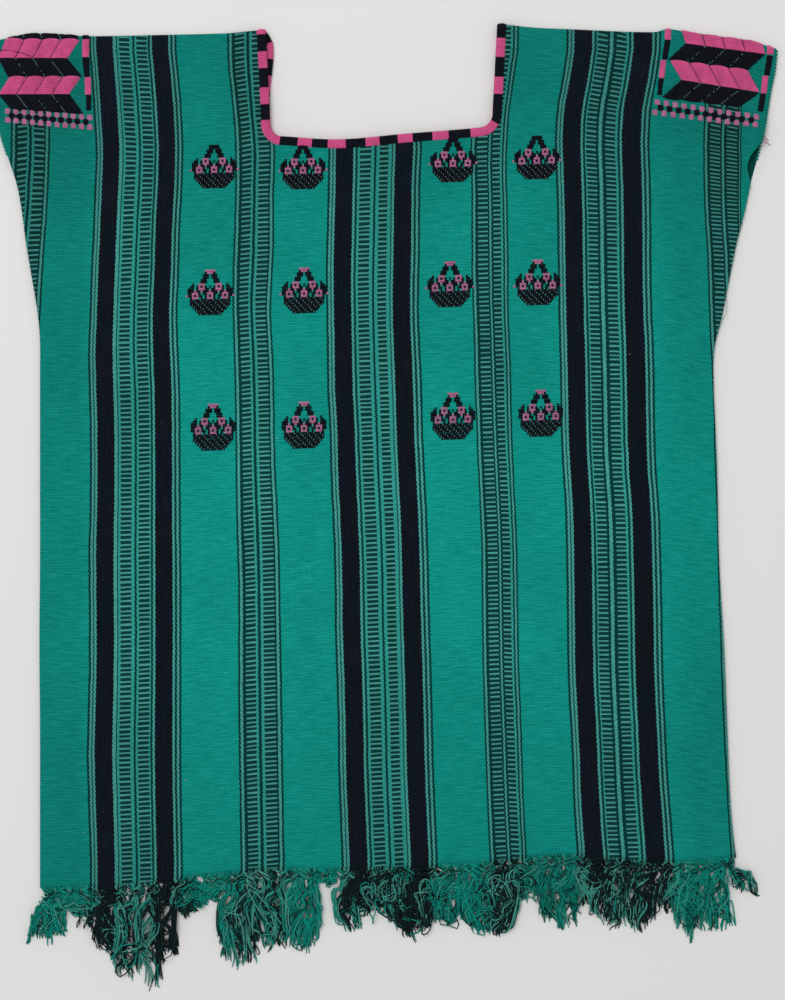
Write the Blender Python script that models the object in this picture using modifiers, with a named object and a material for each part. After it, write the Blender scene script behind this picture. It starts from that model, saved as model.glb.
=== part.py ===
"""A huipil blouse laid flat on its back.

One length of warp-striped cotton is folded at the shoulders, so it has no shoulder seam.
A square neck is cut through the fold and bound, the sides are sewn up to the arms on a
line that is drawn in, and the warp ends hang as twisted locks at both hems.

Sizes are in millimetres. Across runs to the wearer's left, which is +X, down runs from
the shoulder line toward the hem, which is -Y, and the front layer lies on the back one.
"""

import math

import bmesh
import bpy
from mathutils import Vector

MM = 0.001

# The cloth and the way its layers lie
CLOTH = 1.5
LAYERS_APART = 0.5
SEAM_GAP = 0.3
SHOULDER_Y = 401.0

# The bound neck
BINDING_REACH = 4.2
BINDING_HALF_THICK = 1.8
LIP = 0.25
SLOT_HALF_THICK = 0.5 * CLOTH + SEAM_GAP
CORNER = 13.0
NECK_FLAT = 9.0
NECK_RISE = 34.0

# Bend radius of the cloth's middle at the shoulder, plain and beside the thick binding
FOLD_RADIUS = 0.5 * (CLOTH + LAYERS_APART)
NECK_FOLD_RADIUS = BINDING_HALF_THICK + 0.5 * SEAM_GAP
FOLD_MIDDLE = CLOTH + 0.5 * LAYERS_APART
BINDING_LIFT = 0.05
NECK_FOLD_MIDDLE = 2.0 * BINDING_HALF_THICK + 0.5 * SEAM_GAP + BINDING_LIFT

# The armhole ends and the sewn side begins over this stretch
SEWN_FROM = 110.0
SEWN_TO = 128.0

# The fringe: a strip along each hem, and the locks that hang from it
STRIP_DEPTH = 5.0
LOCK_PITCH = 10.8
LOCK_HALF_WIDTH = 3.5
LOCK_HALF_THICK = 0.7
LOCK_ROOM = 0.72
TIP_NARROWING = 0.45
LOCK_WAVE = 7.2
LOCK_WAVES = 0.8
BUNCH_TURN = 0.7
LENGTH_STEP = 0.05
FLOOR_GAP = 0.3
LAYER_CLEAR = 0.1
BACK_LENGTH = 0.58
FRONT_STATIONS = (0.22, 0.45, 0.64, 0.84, 1.0)

# Plan outline of the cloth
OUTLINE = (
    # down, left, right
    (-10, -333, 334),
    (24, -331, 332),
    (46, -328, 328),
    (83, -322, 322),
    (107, -315, 317),
    (130, -308, 311),
    (153, -304, 306),
    (176, -301, 300),
    (200, -297, 295),
    (240, -290.5, 287),
    (262, -289, 281.5),
    (285, -289, 280),
    (360, -289, 283),
    (445, -289, 285),
    (514, -289.5, 289),
    (590, -289, 292),
    (655, -289, 295),
    (722, -289, 302),
)

# Where the shoulder fold runs
SHOULDER = (
    # across, down
    (-333, 7.6),
    (-316, 4.2),
    (-295, 0.8),
    (-248, 2.5),
    (-196, 1.7),
    (-128, 0.0),
    (-106, -1.7),
    (101, -6.8),
    (122, -5.0),
    (157, -3.4),
    (230, -0.8),
    (242, -3.4),
    (273, 1.7),
    (311, 6.8),
    (334, 13.3),
)

# Where the woven edge ends and the fringe begins
HEM = (
    # across, down
    (-289, 722),
    (-213, 720),
    (-166, 713),
    (-86, 706),
    (-35, 706),
    (49, 703),
    (91, 700),
    (150, 694),
    (218, 699),
    (268, 699),
    (302, 695),
)

# The neck's cut edges, and the warp lines that run on from them to the hem
NECK_SIDES = (
    # down, left, right
    (-10, -102.5, 101.5),
    (47, -99.5, 98.5),
    (70, -98.5, 97.3),
    (95, -98, 97),
    (440, -98, 99),
    (722, -97, 103),
)
NECK_BOTTOM = (
    # across, down
    (-98, 90.5),
    (-86, 91),
    (-37, 93.7),
    (19, 89),
    (76, 84.4),
    (97, 82),
)

# The back neck shows a little inside the front one, high on the left
BACK_PEEK = 4.0
PEEK_FROM = 4.0
PEEK_TO = 88.0

# The front edge of the right sleeve is drawn in where the side seam begins
DRAWN_IN = 7.0
DRAWN_FROM = 92.0
DRAWN_TO = 130.0

# Soft folds that stand up in the front layer
FOLDS = (
    # across, down, half length, half width, lean in degrees, height
    (245, 70, 80, 17, 85, 2.4),
    (-256, 74, 70, 17, -85, 2.0),
    (316, 88, 34, 15, 8, 4.4),
    (-318, 90, 30, 15, -10, 3.0),
    (247, 190, 52, 14, 25, 2.4),
    (-268, 168, 46, 13, 18, 2.4),
    (252, 308, 40, 15, 32, 1.8),
    (-6, 529, 42, 12, -79, 1.8),
    (-148, 640, 52, 15, -55, 2.0),
    (-61, 658, 46, 14, -55, 1.7),
    (-150, 430, 190, 26, 1, 1.5),
    (70, 400, 190, 26, -2, 1.5),
    (205, 540, 150, 24, -3, 1.8),
)
FOLD_FALL = 1.6
SEAM_EASE = 24.0
SHOULDER_FLAT = 6.0
SHOULDER_EASE = 34.0

# Locks of the fringe, gathered as they lie
BUNCHES = (
    # root from, root to, tip across, tip width, tip down
    (-286, -259, -285, 24, 778),
    (-259, -225, -235, 17, 787),
    (-225, -196, -214, 14, 808),
    (-196, -155, -190, 20, 812),
    (-155, -135, -143, 8, 740),
    (-135, -104, -120, 22, 793),
    (-104, -54, -82, 32, 784),
    (-54, -27, -36, 13, 753),
    (-27, 12, -17, 13, 772),
    (12, 45, 24, 16, 770),
    (45, 73, 54, 15, 763),
    (73, 115, 92, 17, 770),
    (115, 175, 157, 32, 763),
    (175, 207, 198, 17, 764),
    (207, 230, 219, 12, 762),
    (230, 260, 254, 15, 770),
    (260, 287, 285, 24, 770),
    (287, 300, 319, 10, 744),
)

# Grid of the cloth: how far its rows and columns stand apart, in shares of each stretch
BEND_ANGLES = (30, 60, 90)
ARM_SHARES = (0.25, 0.62)
ARC_ANGLES = (0, 15, 30, 45)
RING_STEPS = (9.0, 18.0, 32.0)
PANEL_ROWS = 18
EDGE_STEPS = (
    # inset when open, inset when sewn, height when sewn as a share of the bend radius
    (0.0, 0.0, 0.15),
    (0.5, 0.0, 0.55),
    (1.0, 0.35, 0.93),
    (1.6, 1.0, 1.0),
)
SIDE_COLUMNS = 5
NECK_STEPS = (26.0, 9.0, 0.0)
CORNER_ANGLES = (60, 75, 90)
MIDDLE_COLUMNS = 4


def smooth(rows, at, column=1):
    """Value of one column of a table, on a smooth curve through its rows."""
    keys = [row[0] for row in rows]
    values = [row[column] for row in rows]
    if at <= keys[0]:
        return values[0]
    if at >= keys[-1]:
        return values[-1]
    k = max(i for i, key in enumerate(keys) if key <= at)
    k = min(k, len(rows) - 2)
    span = keys[k + 1] - keys[k]

    def slope(i):
        low, high = max(i - 1, 0), min(i + 1, len(rows) - 1)
        return (values[high] - values[low]) / (keys[high] - keys[low])

    t = (at - keys[k]) / span
    rise = values[k + 1] - values[k]
    start, end = slope(k) * span, slope(k + 1) * span
    bend = (start + end - 2 * rise) * t + (3 * rise - 2 * start - end)
    return values[k] + start * t + bend * t * t


def straight(rows, at, column=1):
    """Value of one column of a table, on straight runs between its rows."""
    for low, high in zip(rows, rows[1:]):
        if at <= high[0]:
            share = max(0.0, (at - low[0]) / (high[0] - low[0]))
            return low[column] + share * (high[column] - low[column])
    return rows[-1][column]


def ease(share):
    """Soft step from 0 to 1."""
    t = min(max(share, 0.0), 1.0)
    return t * t * (3 - 2 * t)


def mix(a, b, share):
    return a + (b - a) * share


def shoulder_line(across):
    return smooth(SHOULDER, across)


def swell(at, start, end):
    """0 outside a stretch, rising softly to 1 at its middle."""
    share = min(max((at - start) / (end - start), 0.0), 1.0)
    return math.sin(math.pi * share) ** 2


def outer_edge(down, side, layer):
    """Across place of the outline, left where side is -1 and right where it is 1."""
    if side < 0:
        return smooth(OUTLINE, down, 1)
    drawn = DRAWN_IN * swell(down, DRAWN_FROM, DRAWN_TO) if layer > 0 else 0.0
    return smooth(OUTLINE, down, 2) - drawn


def neck_side(down, column, layer):
    """Across place of a neck edge; layer is 1 on the front and -1 on the back."""
    place = smooth(NECK_SIDES, down, column)
    if layer < 0 and column == 1:
        place += BACK_PEEK * swell(down, PEEK_FROM, PEEK_TO)
    return place


def neck_bottom(across):
    return smooth(NECK_BOTTOM, across)


def near_neck(across, down, layer):
    """1 on the cloth beside the neck binding, falling softly to 0 away from it."""
    beside = max(neck_side(down, 1, layer) - across, across - neck_side(down, 2, layer))
    below = down - neck_bottom(across)
    if beside > 0 and below > 0:
        away = math.hypot(beside, below)
    else:
        away = max(beside, below)
    return 1 - ease((away - NECK_FLAT) / (NECK_RISE - NECK_FLAT))


def fold_height(across, down):
    """Height of the soft folds of the front layer, laid down at seams, neck and fold."""
    height = 0.0
    for x, y, half_length, half_width, lean, top in FOLDS:
        turn = math.radians(lean)
        right, below = across - x, down - y
        along = below * math.cos(turn) + right * math.sin(turn)
        off = right * math.cos(turn) - below * math.sin(turn)
        reach = (along / half_length) ** 2 + (off / half_width) ** 2
        height += top * math.exp(-FOLD_FALL * reach)
    sewn = ease((down - SEWN_FROM) / (SEWN_TO - SEWN_FROM))
    inset = min(across - outer_edge(down, -1, 1), outer_edge(down, 1, 1) - across)
    height *= mix(1.0, ease(inset / SEAM_EASE), sewn)
    height *= ease((down - shoulder_line(across) - SHOULDER_FLAT) / SHOULDER_EASE)
    return height * (1 - near_neck(across, down, 1))


def lay(across, run, lift=0.0, rise=1.0):
    """World place of a point of the laid cloth.

    run is measured along the cloth from the shoulder fold, positive on the front and
    negative on the back. lift is outward from the middle of the cloth. rise below 1
    brings an edge down toward the other layer.
    """
    layer = 1 if run >= 0 else -1
    top = shoulder_line(across)
    near = near_neck(across, abs(run) + top, layer)
    radius = mix(FOLD_RADIUS, NECK_FOLD_RADIUS, near)
    middle = mix(FOLD_MIDDLE, NECK_FOLD_MIDDLE, near)
    turn = abs(run) / radius
    if turn < math.pi / 2:
        y = SHOULDER_Y - top - radius + (radius + lift) * math.cos(turn)
        z = middle + layer * (radius + lift) * math.sin(turn)
        return Vector((across, y, z))
    down = top + radius + abs(run) - radius * math.pi / 2
    z = middle + layer * (rise * radius + lift)
    if layer > 0:
        z += fold_height(across, down)
    return Vector((across, SHOULDER_Y - down, z))


def run_at(across, down, layer):
    """Distance along the cloth from the shoulder fold to a place on a flat layer."""
    top = shoulder_line(across)
    near = near_neck(across, down, layer)
    radius = mix(FOLD_RADIUS, NECK_FOLD_RADIUS, near)
    return down - top - radius + radius * math.pi / 2


def row_places():
    """The grid's rows from the shoulder fold to the hem, as (kind, value)."""
    rows = [("bend", 0)]
    rows += [("bend", angle) for angle in BEND_ANGLES]
    rows += [("arm", share) for share in ARM_SHARES]
    rows += [("arc", angle) for angle in ARC_ANGLES]
    rows += [("ring", step) for step in RING_STEPS]
    rows += [("panel", (k + 1) / PANEL_ROWS) for k in range(PANEL_ROWS)]
    return rows


def row_down(row, across):
    """How far down a row lies at a place across."""
    kind, value = row
    inside = min(max(across, NECK_BOTTOM[0][0]), NECK_BOTTOM[-1][0])
    bottom = neck_bottom(inside)
    top = shoulder_line(across) + FOLD_RADIUS
    if kind == "bend":
        return top
    if kind == "arm":
        return mix(top, bottom - CORNER, value)
    if kind == "arc":
        return bottom - CORNER * (1 - math.sin(math.radians(value)))
    if kind == "ring":
        return bottom + value
    return mix(bottom + RING_STEPS[-1], smooth(HEM, across), value)


def edge_columns(row, edge, neck, outward):
    """Columns from a side edge to the neck line beside it, as (across, rise)."""
    sewn = 0.0
    if row[0] not in ("bend", "arm"):
        sewn = ease((row_down(row, edge) - SEWN_FROM) / (SEWN_TO - SEWN_FROM))
    columns = []
    for loose, tight, height in EDGE_STEPS:
        columns.append((edge - outward * mix(loose, tight, sewn), mix(1.0, height, sewn)))
    start = edge - outward * EDGE_STEPS[-1][0]
    end = neck + outward * NECK_STEPS[0]
    for k in range(1, SIDE_COLUMNS):
        columns.append((mix(start, end, k / SIDE_COLUMNS), 1.0))
    return columns + [(neck + outward * step, 1.0) for step in NECK_STEPS[:-1]]


def middle_columns(neck_left, neck_right):
    """Columns below the neck hole, as (across, angle round the neck's corner)."""
    insets = [(CORNER * (1 - math.cos(math.radians(angle))), angle) for angle in CORNER_ANGLES]
    columns = [(neck_left + inset, angle) for inset, angle in insets]
    for k in range(1, MIDDLE_COLUMNS):
        share = k / MIDDLE_COLUMNS
        columns.append((mix(neck_left + CORNER, neck_right - CORNER, share), 90))
    return columns + [(neck_right - inset, angle) for inset, angle in reversed(insets)]


def row_points(row, layer, corner_row):
    """Pattern points of one row of the grid, as (across, down, rise) or None in the hole."""
    kind, value = row
    left = outer_edge(row_down(row, OUTLINE[-1][1]), -1, layer)
    right = outer_edge(row_down(row, OUTLINE[-1][2]), 1, layer)
    neck_left = neck_side(row_down(row, NECK_BOTTOM[0][0]), 1, layer)
    neck_right = neck_side(row_down(row, NECK_BOTTOM[-1][0]), 2, layer)
    rounded = CORNER * (1 - math.cos(math.radians(value))) if kind == "arc" else 0.0

    left_columns = edge_columns(row, left, neck_left, -1) + [(neck_left + rounded, 1.0)]
    right_columns = edge_columns(row, right, neck_right, 1) + [(neck_right - rounded, 1.0)]
    points = [(across, row_down(row, across), rise) for across, rise in left_columns]
    for across, angle in middle_columns(neck_left, neck_right):
        if corner_row:
            down = neck_bottom(across) - CORNER * (1 - math.sin(math.radians(angle)))
            points.append((across, down, 1.0))
        elif kind in ("ring", "panel"):
            points.append((across, row_down(row, across), 1.0))
        else:
            points.append(None)
    points += [(across, row_down(row, across), rise) for across, rise in reversed(right_columns)]
    return points


def cloth_pattern():
    """Pattern points (across, run, rise) of both layers, keyed by layer, row, column."""
    rows = row_places()
    corner = rows.index(("arc", ARC_ANGLES[-1]))
    pattern = {}
    for layer in (1, -1):
        for j, row in enumerate(rows):
            for i, point in enumerate(row_points(row, layer, j == corner)):
                if point is None:
                    continue
                across, down, rise = point
                if row[0] == "bend":
                    near = near_neck(across, down, layer)
                    radius = mix(FOLD_RADIUS, NECK_FOLD_RADIUS, near)
                    run = math.radians(row[1]) * radius
                else:
                    run = run_at(across, down, layer)
                pattern[layer, j, i] = (across, layer * run, rise)
    return pattern, len(rows), corner


def first_neck_column():
    return len(EDGE_STEPS) + SIDE_COLUMNS - 1 + len(NECK_STEPS) - 1


def last_neck_column():
    return first_neck_column() + 2 * len(CORNER_ANGLES) + MIDDLE_COLUMNS


def make_material(name, colour, roughness):
    material = bpy.data.materials.new(name)
    material.use_nodes = True
    shader = material.node_tree.nodes["Principled BSDF"]
    shader.inputs["Base Color"].default_value = (*colour, 1.0)
    shader.inputs["Roughness"].default_value = roughness
    shader.inputs["Metallic"].default_value = 0.0
    return material


def add_piece(name, mesh_data, material, collection, parent):
    """Put a finished bmesh in the scene as a named piece."""
    mesh = bpy.data.meshes.new(name)
    mesh_data.to_mesh(mesh)
    mesh_data.free()
    mesh.materials.append(material)
    mesh.shade_smooth()
    piece = bpy.data.objects.new(name, mesh)
    collection.objects.link(piece)
    piece.parent = parent
    return piece


def make_cloth(pattern, row_count, material, collection, parent):
    """The one length of cloth: both layers and the shoulder fold, with its neck hole."""
    sheet = bmesh.new()
    points = {}
    for (layer, j, i), (across, run, rise) in pattern.items():
        key = (1, 0, i) if j == 0 else (layer, j, i)
        if key not in points:
            points[key] = sheet.verts.new(lay(across, run, 0.0, rise) * MM)
    columns = 1 + max(i for _, _, i in pattern)
    for layer in (1, -1):
        for j in range(row_count - 1):
            for i in range(columns - 1):
                keys = [(layer, j, i), (layer, j, i + 1), (layer, j + 1, i + 1), (layer, j + 1, i)]
                keys = [(1, 0, key[2]) if key[1] == 0 else key for key in keys]
                if all(key in points for key in keys):
                    corners = [points[key] for key in keys]
                    sheet.faces.new(reversed(corners) if layer > 0 else corners)
    piece = add_piece("body_cloth", sheet, material, collection, parent)
    wall = piece.modifiers.new("cloth thickness", "SOLIDIFY")
    wall.thickness = CLOTH * MM
    wall.offset = 0.0
    return piece


def neck_loop(pattern, corner):
    """Pattern points of the cut neck edge, once round the hole."""
    first, last = first_neck_column(), last_neck_column()

    def around(layer):
        edge = [pattern[layer, j, first][:2] for j in range(1, corner + 1)]
        edge += [pattern[layer, corner, i][:2] for i in range(first + 1, last)]
        edge += [pattern[layer, j, last][:2] for j in range(corner, 0, -1)]
        return edge

    loop = [pattern[1, 0, first][:2]] + around(1)
    loop += [pattern[1, 0, last][:2]] + list(reversed(around(-1)))
    return loop


def binding_section():
    """Outline of the binding: an oval roll with a slot that takes the cloth's edge."""
    reach, thick, slot = BINDING_REACH, BINDING_HALF_THICK, SLOT_HALF_THICK
    upper = [
        (reach, slot + LIP),
        (0.78 * reach, 0.92 * thick),
        (0.25 * reach, thick),
        (-0.42 * reach, 0.97 * thick),
        (-0.8 * reach, 0.68 * thick),
    ]
    lower = [(out, -up) for out, up in reversed(upper)]
    inner = [(reach, -slot), (-SEAM_GAP, -slot), (-SEAM_GAP, slot), (reach, slot)]
    return upper + [(-0.95 * reach, 0.0)] + lower + inner


def make_binding(pattern, corner, material, collection, parent):
    """The wrapped edge of the neck, one roll all round the hole."""
    loop = [Vector(point) for point in neck_loop(pattern, corner)]
    section = binding_section()
    roll = bmesh.new()
    rings = []
    for k, here in enumerate(loop):
        before = (here - loop[k - 1]).normalized()
        after = (loop[(k + 1) % len(loop)] - here).normalized()
        into_cloth = Vector((-before.y - after.y, before.x + after.x)).normalized()
        stretch = 1 / into_cloth.dot(Vector((-before.y, before.x)))
        ring = []
        for out, up in section:
            place = here + into_cloth * out * stretch
            ring.append(roll.verts.new(lay(place.x, place.y, up) * MM))
        rings.append(ring)
    count = len(section)
    for k, ring in enumerate(rings):
        following = rings[(k + 1) % len(rings)]
        for i in range(count):
            j = (i + 1) % count
            roll.faces.new((ring[i], ring[j], following[j], following[i]))
    bmesh.ops.recalc_face_normals(roll, faces=roll.faces[:])
    return add_piece("neck_binding", roll, material, collection, parent)


def lock_plan():
    """Every lock as (root across, tip across, tip down, share of that length, bunch)."""
    locks = []
    for number, (start, end, tip, width, tip_down) in enumerate(BUNCHES):
        count = max(2, round((end - start) / LOCK_PITCH))
        for k in range(count):
            share = (k + 0.5) / count
            root = mix(start, end, share)
            uneven = 1 - LENGTH_STEP * ((3 * k + 2 * number) % 4)
            locks.append((root, tip + width * (share - 0.5), tip_down, uneven, number))
    return locks


def lock_line(lock, hem_down, share):
    """Across and down of a lock's middle, at a share of its length."""
    root, tip, tip_down, uneven, number = lock
    start = hem_down + SEAM_GAP + STRIP_DEPTH
    down = mix(start, mix(start, tip_down, uneven), share)
    turn = 2 * math.pi * LOCK_WAVES * share + math.pi * BUNCH_TURN * number
    wave = LOCK_WAVE * math.sin(turn) * share * (1 - share)
    return mix(root, tip, ease(share)) + wave, down


def lock_stations(layer):
    """Shares of a lock's length, and how high its middle lies there."""
    low = FLOOR_GAP + LOCK_HALF_THICK
    if layer < 0:
        return [(0.5 * BACK_LENGTH, low), (BACK_LENGTH, low)]
    high = CLOTH + LAYERS_APART + 0.5 * CLOTH + LAYER_CLEAR
    past_back = FRONT_STATIONS[-2]
    heights = [high if share < past_back else low + FLOOR_GAP for share in FRONT_STATIONS]
    heights[-1] = low
    return list(zip(FRONT_STATIONS, heights))


def make_fringe(name, layer, pattern, row_count, material, collection, parent):
    """A narrow strip along the hem with the twisted warp ends hanging from it."""
    columns = 1 + max(i for _, _, i in pattern)
    edge = len(EDGE_STEPS)
    hem = []
    for i in range(edge - 1, columns - edge + 1):
        across, run, rise = pattern[layer, row_count - 1, i]
        place = lay(across, run, 0.0, rise)
        hem.append((place.x, SHOULDER_Y - place.y, place.z))
    locks = lock_plan()
    fringe = bmesh.new()

    def station(across):
        """Four points of the strip: upper and lower edge, each outside and inside."""
        down = straight(hem, across, 1) + SEAM_GAP
        height = straight(hem, across, 2)
        corners = []
        for below, up in ((0, 1), (STRIP_DEPTH, 1), (STRIP_DEPTH, -1), (0, -1)):
            z = height + up * 0.5 * CLOTH
            corners.append(fringe.verts.new(Vector((across, SHOULDER_Y - down - below, z)) * MM))
        return corners

    def join(first, second, open_side):
        """Faces between two stations; a lock grows where the lower side is open."""
        for i in range(4):
            j = (i + 1) % 4
            if open_side and i == 1:
                continue
            fringe.faces.new((first[i], first[j], second[j], second[i]))

    def grow(lock, left, right, half_width):
        """One lock, lofted from its four root points through its stations to its tip."""
        ring = [left[1], right[1], right[2], left[2]]
        hem_down = straight(hem, lock[0], 1)
        for share, height in lock_stations(layer):
            x, down = lock_line(lock, hem_down, share)
            half = half_width * (1 - TIP_NARROWING * share)
            next_ring = []
            for side, up in ((-1, 1), (1, 1), (1, -1), (-1, -1)):
                place = Vector((x + side * half, SHOULDER_Y - down, height + up * LOCK_HALF_THICK))
                next_ring.append(fringe.verts.new(place * MM))
            for i in range(4):
                j = (i + 1) % 4
                fringe.faces.new((ring[i], ring[j], next_ring[j], next_ring[i]))
            ring = next_ring
        fringe.faces.new(ring)

    previous = station(hem[0][0] + SEAM_GAP)
    fringe.faces.new(previous)
    for number, lock in enumerate(locks):
        neighbours = [other for other in (number - 1, number + 1) if 0 <= other < len(locks)]
        room = min(abs(locks[other][1] - lock[1]) for other in neighbours)
        half_width = min(LOCK_HALF_WIDTH, LOCK_ROOM * room)
        left = station(lock[0] - half_width)
        right = station(lock[0] + half_width)
        join(previous, left, False)
        join(left, right, True)
        grow(lock, left, right, half_width)
        previous = right
    last = station(hem[-1][0] - SEAM_GAP)
    join(previous, last, False)
    fringe.faces.new(last)
    bmesh.ops.recalc_face_normals(fringe, faces=fringe.faces[:])
    return add_piece(name, fringe, material, collection, parent)


def build():
    for item in list(bpy.data.objects):
        bpy.data.objects.remove(item, do_unlink=True)
    collection = bpy.data.collections.new("huipil_blouse")
    bpy.context.scene.collection.children.link(collection)
    surface = bpy.data.objects.new("laid_on_surface", None)
    surface.empty_display_size = 0.1
    collection.objects.link(surface)

    green_cotton = make_material("striped green cotton", (0.008, 0.265, 0.18), 0.86)
    wrapped_yarn = make_material("black and pink wrapped yarn", (0.02, 0.012, 0.018), 0.8)
    green_yarn = make_material("green and black warp yarn", (0.006, 0.16, 0.11), 0.88)

    pattern, row_count, corner = cloth_pattern()
    make_cloth(pattern, row_count, green_cotton, collection, surface)
    make_binding(pattern, corner, wrapped_yarn, collection, surface)
    make_fringe("front_fringe", 1, pattern, row_count, green_yarn, collection, surface)
    make_fringe("back_fringe", -1, pattern, row_count, green_yarn, collection, surface)


build()
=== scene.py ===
import math
import random

import bmesh
import bpy
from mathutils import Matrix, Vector


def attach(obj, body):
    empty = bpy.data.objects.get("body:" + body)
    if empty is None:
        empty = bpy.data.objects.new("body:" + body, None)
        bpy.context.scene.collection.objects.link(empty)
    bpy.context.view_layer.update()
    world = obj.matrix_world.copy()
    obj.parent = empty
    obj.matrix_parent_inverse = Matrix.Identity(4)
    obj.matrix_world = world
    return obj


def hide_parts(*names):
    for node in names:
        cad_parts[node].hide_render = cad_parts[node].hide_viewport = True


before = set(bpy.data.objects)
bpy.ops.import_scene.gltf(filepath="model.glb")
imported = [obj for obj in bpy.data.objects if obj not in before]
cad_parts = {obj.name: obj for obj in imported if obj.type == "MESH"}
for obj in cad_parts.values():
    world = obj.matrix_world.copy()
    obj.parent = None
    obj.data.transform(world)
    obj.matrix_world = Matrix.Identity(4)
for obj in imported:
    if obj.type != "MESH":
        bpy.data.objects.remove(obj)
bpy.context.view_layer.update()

bpy.ops.object.select_all(action="DESELECT")

# ---------------------------------------------------------------- body cloth
# One length of warp-striped cotton, folded at the shoulders and laid on its back, front
# on back. The sides are sewn up to the arms on a drawn-in line, the neck is cut through
# the fold, and the warp ends go on as the fringe. Places are in millimetres: across runs
# to the right, down runs from the shoulders to the hem.
MM = 0.001
LAYER = 1.5                     # room of one layer in the solid
THIN = 0.8                      # the woven cloth itself
OUTER = 0.5 * LAYER             # from a layer's middle to its outer face
SHOULDER_Y = 401.0
FOLD_RADIUS, FOLD_MIDDLE = 1.0, 1.75
NECK_FOLD_RADIUS, NECK_FOLD_MIDDLE = 1.95, 3.80
NECK_FLAT, NECK_RISE = 9.0, 34.0
CORNER = 13.0
SEWN_FROM, SEWN_TO = 110.0, 128.0
BROCADE_LIFT = 0.95

OUTLINE = (
    # down, left, right
    (-10, -333, 334), (24, -331, 332), (46, -328, 328), (83, -322, 322), (107, -315, 317),
    (130, -308, 311), (153, -304, 306), (176, -301, 300), (200, -297, 295),
    (240, -290.5, 287), (262, -289, 281.5), (285, -289, 280), (360, -289, 283),
    (445, -289, 285), (514, -289.5, 289), (590, -289, 292), (655, -289, 295),
    (722, -289, 302),
)
SHOULDER = (
    # across, down
    (-333, 7.6), (-316, 4.2), (-295, 0.8), (-248, 2.5), (-196, 1.7), (-128, 0.0),
    (-106, -1.7), (101, -6.8), (122, -5.0), (157, -3.4), (230, -0.8), (242, -3.4),
    (273, 1.7), (311, 6.8), (334, 13.3),
)
HEM = (
    # across, down
    (-289, 722), (-213, 720), (-166, 713), (-86, 706), (-35, 706), (49, 703), (91, 700),
    (150, 694), (218, 699), (268, 699), (302, 695),
)
NECK_SIDES = (
    # down, left, right
    (-10, -102.5, 101.5), (47, -99.5, 98.5), (70, -98.5, 97.3), (95, -98, 97),
    (440, -98, 99), (722, -97, 103),
)
NECK_BOTTOM = (
    # across, down
    (-98, 90.5), (-86, 91), (-37, 93.7), (19, 89), (76, 84.4), (97, 82),
)
FOLDS = (
    # across, down, half length, half width, lean in degrees, height
    (245, 70, 80, 17, 85, 2.4), (-256, 74, 70, 17, -85, 2.0), (316, 88, 34, 15, 8, 4.4),
    (-318, 90, 30, 15, -10, 3.0), (247, 190, 52, 14, 25, 2.4), (-268, 168, 46, 13, 18, 2.4),
    (252, 308, 40, 15, 32, 1.8), (-6, 529, 42, 12, -79, 1.8), (-148, 640, 52, 15, -55, 2.0),
    (-61, 658, 46, 14, -55, 1.7), (-150, 430, 190, 26, 1, 1.5), (70, 400, 190, 26, -2, 1.5),
    (205, 540, 150, 24, -3, 1.8),
)
CREASES = (
    # the finer creases of the front, as ridges and as troughs
    (-150, 672, 34, 7, -62, 0.9), (-172, 655, 26, 6, -48, -0.6), (-60, 678, 30, 7, -66, 0.8),
    (-78, 640, 24, 6, -50, -0.6), (-2, 530, 26, 6, -80, 0.9), (20, 512, 22, 6, -70, -0.5),
    (236, 150, 28, 8, 30, 0.9), (262, 214, 24, 7, 20, -0.6), (-250, 128, 26, 8, 20, 0.8),
    (-270, 196, 22, 7, 8, -0.5), (120, 160, 40, 10, 70, 0.5), (-130, 190, 46, 11, 88, 0.5),
    (10, 250, 60, 12, -6, 0.6), (-250, 480, 70, 11, 3, 0.6), (170, 250, 40, 9, 12, 0.5),
    (130, 640, 44, 9, 48, 0.7), (240, 612, 40, 9, 30, 0.6), (-30, 380, 30, 8, -74, 0.4),
    # and the lip of the right armhole
    (308, 110, 24, 8, -14, 3.6),
)
BACK_CREASES = (
    # the same kind on the hidden back, lifted a little off the surface
    (-210, 120, 60, 12, 40, 0.7), (190, 90, 50, 11, -35, 0.7), (-60, 240, 90, 13, 10, 0.6),
    (110, 360, 70, 12, -18, 0.8), (-200, 420, 64, 11, 26, 0.6), (20, 560, 80, 13, 64, 0.8),
    (220, 600, 46, 10, 40, 0.7), (-140, 640, 56, 11, -52, 0.8),
)


def smooth(rows, at, column=1):
    """A table's column, read on a smooth curve through its rows."""
    keys = [row[0] for row in rows]
    values = [row[column] for row in rows]
    if at <= keys[0]:
        return values[0]
    if at >= keys[-1]:
        return values[-1]
    k = min(max(i for i, key in enumerate(keys) if key <= at), len(rows) - 2)
    span = keys[k + 1] - keys[k]

    def slope(i):
        low, high = max(i - 1, 0), min(i + 1, len(rows) - 1)
        return (values[high] - values[low]) / (keys[high] - keys[low])

    t = (at - keys[k]) / span
    rise = values[k + 1] - values[k]
    start, end = slope(k) * span, slope(k + 1) * span
    bend = (start + end - 2 * rise) * t + (3 * rise - 2 * start - end)
    return values[k] + start * t + bend * t * t


def ease(share):
    """Soft step from 0 to 1."""
    t = min(max(share, 0.0), 1.0)
    return t * t * (3 - 2 * t)


def mix(a, b, share):
    return a + (b - a) * share


def swell(at, start, end):
    share = min(max((at - start) / (end - start), 0.0), 1.0)
    return math.sin(math.pi * share) ** 2


def outer_edge(down, side, layer):
    if side < 0:
        return smooth(OUTLINE, down, 1)
    return smooth(OUTLINE, down, 2) - (8.0 * swell(down, 88, 130) if layer > 0 else 0.0)


def neck_side(down, column, layer):
    place = smooth(NECK_SIDES, down, column)
    if layer < 0 and column == 1:
        place += 5.5 * ease(down / 7) * (1 - ease((down - 12) / 48))
    return place


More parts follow.
